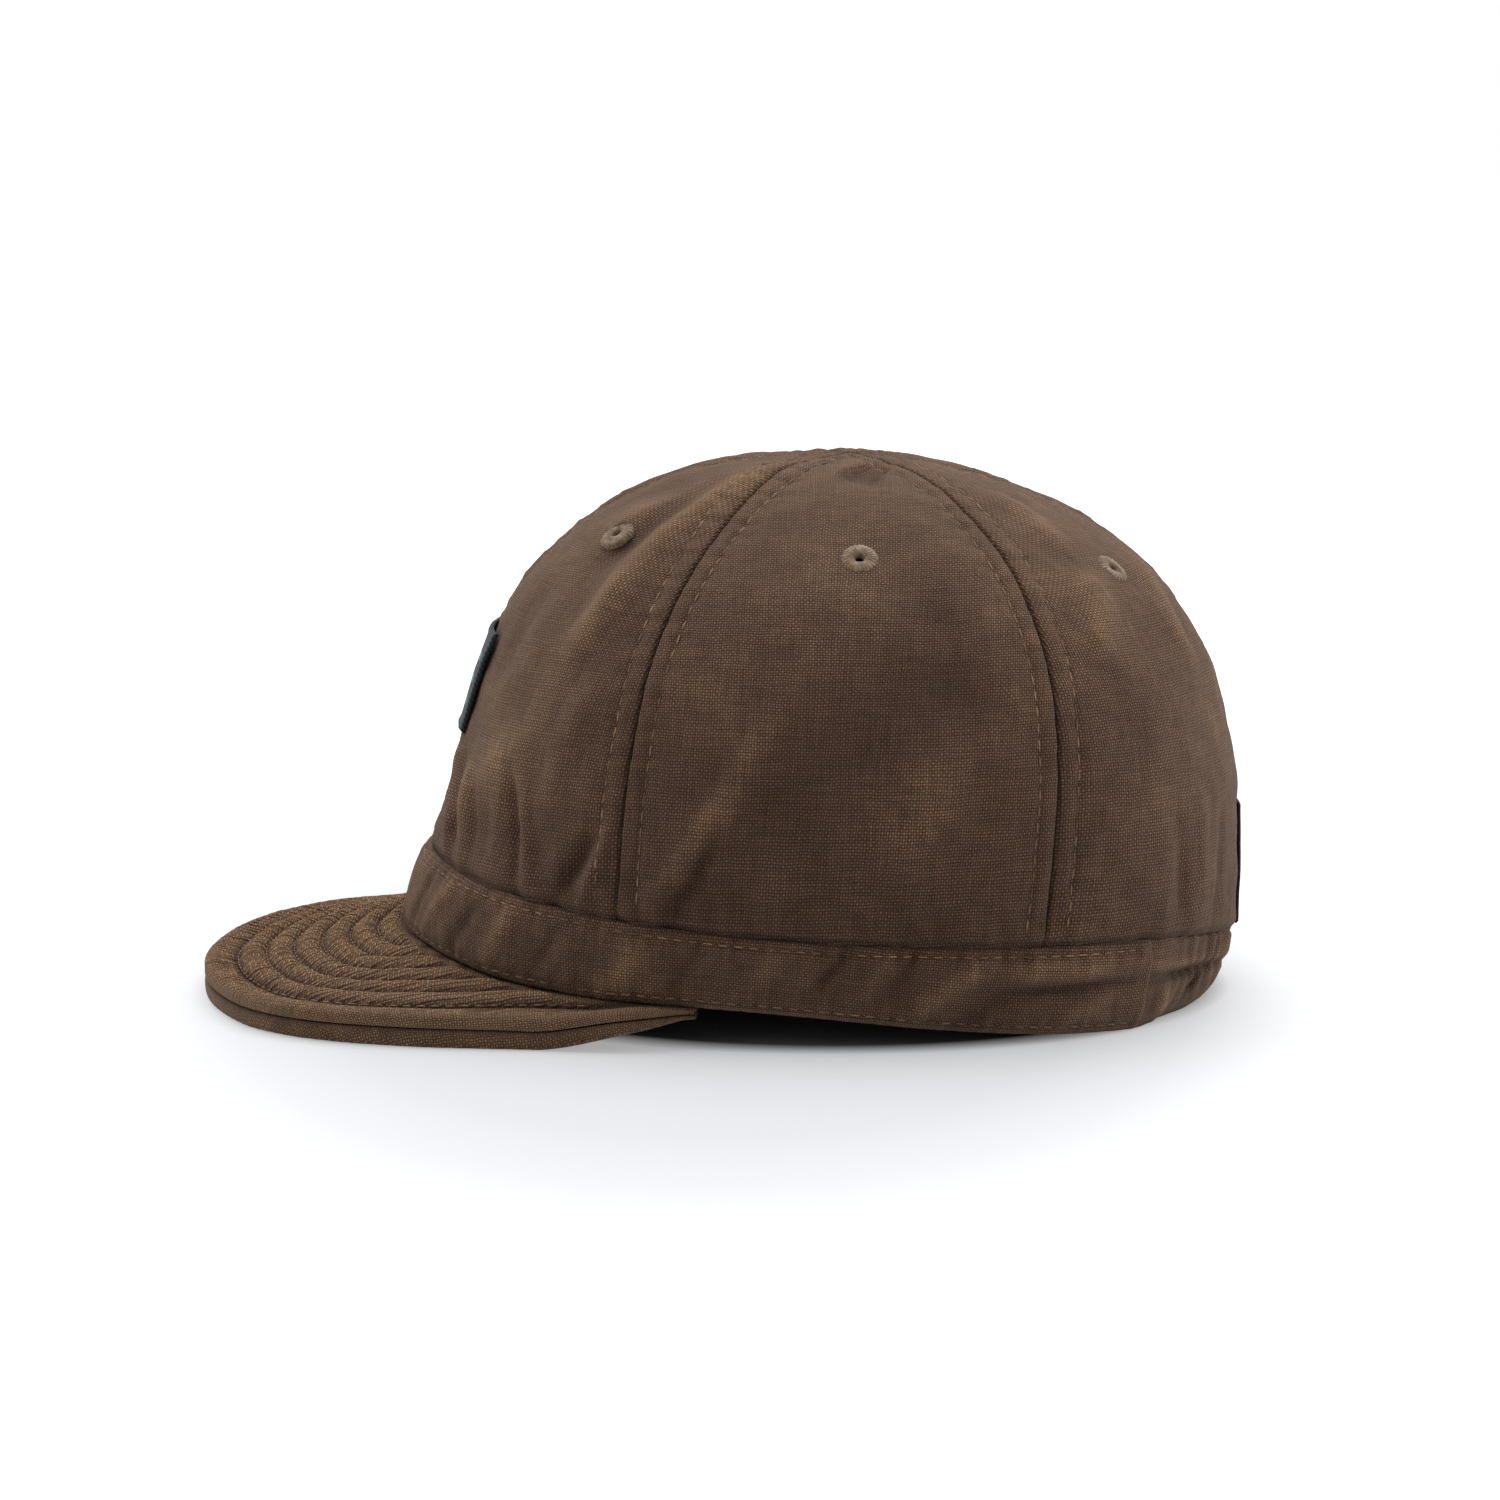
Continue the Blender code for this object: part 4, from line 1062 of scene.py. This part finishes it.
# The front patch: a small oblong of near-black twill with a raised, dark overlocked border
# and three plain bars in teal thread, sewn flat over the front seam.

PATCH_WIDTH = 0.040
PATCH_HEIGHT = 0.024
PATCH_BASE = 0.064
PATCH_THICKNESS = 0.0010

# Millimetres: three bars of satin stitch, and the overlocked border round the patch.
BAR_STEP = 2.6         # half the way from bar to bar
BAR_HALF_THICK = 0.95
BAR_HALF_LONG = 13.0
BARS_HALF_TALL = 7.0
BORDER = 2.0

# Embroidered twill: satin stitches that lie in slanting ribs, with a faint gloss.
patch_cloth, tree, shader = new_material("embroidered twill", {
    "Roughness": 0.7, "Specular IOR Level": 0.25, "Sheen Weight": 0.08,
})
mm = add(tree, "ShaderNodeUVMap", uv_map="weave").outputs["UV"]
axes = add(tree, "ShaderNodeSeparateXYZ", {0: mm})
aside = add(tree, "ShaderNodeMath", {0: axes.outputs["X"]}, operation="ABSOLUTE")
level = add(tree, "ShaderNodeMath", {0: axes.outputs["Y"]}, operation="ABSOLUTE")
bar = add(tree, "ShaderNodeMath", {0: axes.outputs["Y"], 1: BAR_STEP}, operation="PINGPONG")
bars = add(tree, "ShaderNodeMath", {0: bar, 1: BAR_HALF_THICK}, operation="LESS_THAN")
for across, half in ((aside, BAR_HALF_LONG), (level, BARS_HALF_TALL)):
    within = add(tree, "ShaderNodeMath", {0: across, 1: half}, operation="LESS_THAN")
    bars = add(tree, "ShaderNodeMath", {0: bars, 1: within}, operation="MULTIPLY")
borders = []
for across, side in ((aside, PATCH_WIDTH), (level, PATCH_HEIGHT)):
    inner = side / 2 * MM - BORDER
    borders.append(add(tree, "ShaderNodeMath", {0: across, 1: inner}, operation="GREATER_THAN"))
rim = add(tree, "ShaderNodeMath", {0: borders[0], 1: borders[1]}, operation="MAXIMUM")
satin = add(
    tree, "ShaderNodeTexWave", {"Vector": mm, "Scale": 0.52, "Distortion": 0.6},
    bands_direction="DIAGONAL",
).outputs["Fac"]
threads = []
for deep, pale in (("#0c1014", "#1c242b"), ("#16504f", "#3f9a92"), ("#070c10", "#13222a")):
    mix = {0: satin, 6: tint(deep), 7: tint(pale)}
    threads.append(add(tree, "ShaderNodeMix", mix, data_type="RGBA").outputs[2])
ground, teal, border = threads
face = add(tree, "ShaderNodeMix", {0: bars, 6: ground, 7: teal}, data_type="RGBA").outputs[2]
face = add(tree, "ShaderNodeMix", {0: rim, 6: face, 7: border}, data_type="RGBA").outputs[2]
tree.links.new(face, shader.inputs["Base Color"])
raised = add(tree, "ShaderNodeMath", {0: bars, 1: 2.0, 2: satin}, operation="MULTIPLY_ADD")
stitched = add(tree, "ShaderNodeBump", {"Strength": 0.7, "Distance": 0.0003, "Height": raised})
tree.links.new(stitched.outputs[0], shader.inputs["Normal"])


def sewn_flat(name, middle_turn, width, base, height, thickness, columns, rows, rim_lift):
    """A thin piece of cloth sewn on the outside of the crown, its rim raised or pressed."""
    def place(across, up):
        level = base + height * up
        rise = rise_at(level)
        radius = ring_radius(np.full_like(rise, middle_turn), rise)
        turn = middle_turn + np.degrees((across - 0.5) * width / radius)
        turn = np.where(turn > 180, turn - 360, turn)
        smooth = smooth_crown(turn, rise)
        clear_of_seam = ease(level - seam_height(turn), 0.0, BAND_HEIGHT / 2)
        lift = fold_lift(turn, rise) * (0.35 + 0.65 * clear_of_seam)
        from_side = np.minimum(across, 1 - across) * width
        from_end = np.minimum(up, 1 - up) * height
        from_rim = np.minimum(from_side, from_end)
        raised = rim_lift * hump(from_rim, 0.0009, 0.0008)
        turned_in = -thickness * 0.7 * hump(from_rim, 0.0, 0.0003)
        ripple = 0.00015 * uneven(smooth, 0.006, 21)
        away = lift + GAP + thickness + raised + turned_in + ripple
        points = smooth + crown_normal(turn, rise) * away[:, None]
        woven = in_weave((across - 0.5) * width, (up - 0.5) * height)
        return points, np.full_like(across, 0.3), woven

    return lay_cloth(name, columns, rows, place, thickness)


front_patch = sewn_flat(
    "front_patch_twill", 0.0, PATCH_WIDTH, PATCH_BASE, PATCH_HEIGHT, PATCH_THICKNESS,
    columns=80, rows=48, rim_lift=0.0003,
)
front_patch.data.materials[0] = patch_cloth
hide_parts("front_patch")


# The back tab: a narrow length of woven ribbon, dark and plain, sewn flat over the back
# seam just above the band.

LABEL_WIDTH = 0.014
LABEL_HEIGHT = 0.030
LABEL_THICKNESS = 0.0008
LABEL_CLEARANCE = 0.0020
label_base = float(seam_height(np.array(180.0))) + LABEL_CLEARANCE

# Woven polyester ribbon: fine level ribs of filament yarn with a faint gloss.
ribbon, tree, shader = new_material("woven polyester ribbon", {
    "Roughness": 0.7, "Specular IOR Level": 0.15, "Sheen Weight": 0.04,
})
mm = add(tree, "ShaderNodeUVMap", uv_map="weave").outputs["UV"]
ribs = add(
    tree, "ShaderNodeTexWave", {"Vector": mm, "Scale": 0.60, "Distortion": 0.4},
    bands_direction="Y",
).outputs["Fac"]
tone = {0: ribs, 6: tint("#0a0908"), 7: tint("#1d1917")}
yarn = add(tree, "ShaderNodeMix", tone, data_type="RGBA").outputs[2]
tree.links.new(yarn, shader.inputs["Base Color"])
ribbed = add(tree, "ShaderNodeBump", {"Strength": 0.6, "Distance": 0.0002, "Height": ribs})
tree.links.new(ribbed.outputs[0], shader.inputs["Normal"])

back_label = sewn_flat(
    "back_label_ribbon", 180.0, LABEL_WIDTH, label_base, LABEL_HEIGHT, LABEL_THICKNESS,
    columns=28, rows=48, rim_lift=0.0001,
)
back_label.data.materials[0] = ribbon
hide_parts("back_label")


# The studio: a pale floor that shines, with a painted shadow under the cap and a painted pool
# of shade round it, brighter farther off, a large soft light overhead and weaker ones in front
# and behind, so that the shadow is only a soft pool round the cap.

mesh = bmesh.new()
bmesh.ops.create_grid(mesh, x_segments=1, y_segments=1, size=14.0)
data = bpy.data.meshes.new("floor")
mesh.to_mesh(data)
mesh.free()

# The floor, matt, shines with a painted shadow: dark under the cap and brighter away from it.
floor_with_painted_shadow, tree, shader = new_material("pale floor with painted shadow", {
    "Roughness": 0.9, "Specular IOR Level": 0.1, "Emission Strength": 1.0,
})
spot = add(tree, "ShaderNodeTexCoord").outputs["Object"]
haze = add(tree, "ShaderNodeTexNoise", {"Vector": spot, "Scale": 3.0})
skin = add(tree, "ShaderNodeValToRGB", {0: haze})
skin.color_ramp.elements[0].color = tint("#939599")
skin.color_ramp.elements[1].color = tint("#95979b")
tree.links.new(skin.outputs[0], shader.inputs["Base Color"])

# Painted shadow: the floor doesn't shine inside an oval under the cap, and shines more the farther
# off, painting a pool of shade round it.
covered = add(
    tree, "ShaderNodeMapping",
    {"Vector": spot, "Location": (0.0, -0.107, 0.0), "Scale": (5.0, 4.2, 1.0)},
)
beside = add(tree, "ShaderNodeVectorMath", {0: covered}, operation="LENGTH")
outside_painted_shadow = add(
    tree, "ShaderNodeMapRange",
    {"Value": beside.outputs["Value"], "From Min": 0.365, "From Max": 0.415},
)
pool = add(
    tree, "ShaderNodeMapping",
    {"Vector": spot, "Location": (0.0, 0.0035, 0.0), "Scale": (1.0, 1.75, 1.0)},
)
outward = add(tree, "ShaderNodeVectorMath", {0: pool}, operation="LENGTH")
# The ramp paints the pool of shade: dim near the cap, brightening outwards.
glow_with_painted_pool = add(tree, "ShaderNodeValToRGB", {0: outward.outputs["Value"]})
glow_with_painted_pool.color_ramp.elements[0].position = 0.16
glow_with_painted_pool.color_ramp.elements[0].color = (0.37, 0.37, 0.37, 1.0)
for position, level in ((0.20, 0.44), (0.245, 0.60), (0.30, 0.74), (0.625, 0.95)):
    glow_with_painted_pool.color_ramp.elements.new(position).color = (level, level, level, 1.0)
painted_shadow_and_glow = add(tree, "ShaderNodeVectorMath", {0: glow_with_painted_pool, "Scale": outside_painted_shadow}, operation="SCALE")
tree.links.new(painted_shadow_and_glow.outputs[0], shader.inputs["Emission Color"])
data.materials.append(floor_with_painted_shadow)
floor = put_in_scene("floor", data)


def soft_light(name, place, target, size, power):
    light = bpy.data.lights.new(name, "AREA")
    light.shape = "DISK"
    light.size = size
    light.energy = power
    lamp = put_in_scene(name, light)
    lamp.location = place
    lamp.rotation_euler = (Vector(place) - Vector(target)).to_track_quat("Z", "Y").to_euler()


soft_light("overhead", (-0.35, 0.0, 1.3), (0.0, 0.0, 0.05), 1.4, 15.5)
soft_light("front_side", (0.0, -1.1, 1.1), (0.0, 0.0, 0.06), 1.0, 5.2)
soft_light("back_side", (0.0, 1.2, 0.8), (0.0, 0.0, 0.06), 1.0, 7.5)

world = bpy.data.worlds.new("studio")
world.use_nodes = True
tree = world.node_tree
way = add(tree, "ShaderNodeSeparateXYZ", {0: add(tree, "ShaderNodeTexCoord").outputs["Generated"]})
dimmer = add(
    tree, "ShaderNodeMapRange",
    {"Value": way.outputs["X"], "From Min": -0.3, "From Max": 0.8, "To Min": 1.0, "To Max": 0.36},
)
seen = add(tree, "ShaderNodeLightPath").outputs["Is Camera Ray"]
backdrop = add(tree, "ShaderNodeMath", {0: dimmer, 1: seen}, operation="MAXIMUM")
tree.links.new(backdrop.outputs[0], tree.nodes["Background"].inputs["Strength"])
tree.nodes["Background"].inputs["Color"].default_value = (1.0, 1.0, 1.0, 1.0)
bpy.context.scene.world = world
bpy.context.scene.view_settings.view_transform = "Standard"

# The camera looks at the cap's left side from a metre off, and a little from above.

CAMERA_DISTANCE = 1.0
CAMERA_RISE = math.radians(8.7)
target = Vector((0.0, 0.0065, 0.0572))
away = Vector((math.cos(CAMERA_RISE), 0.0, math.sin(CAMERA_RISE)))
lens = bpy.data.cameras.new("camera")
lens.sensor_width = 36.0
lens.lens = 98.16
camera = put_in_scene("camera", lens)
camera.location = target + away * CAMERA_DISTANCE
camera.rotation_euler = away.to_track_quat("Z", "Y").to_euler()
bpy.context.scene.camera = camera
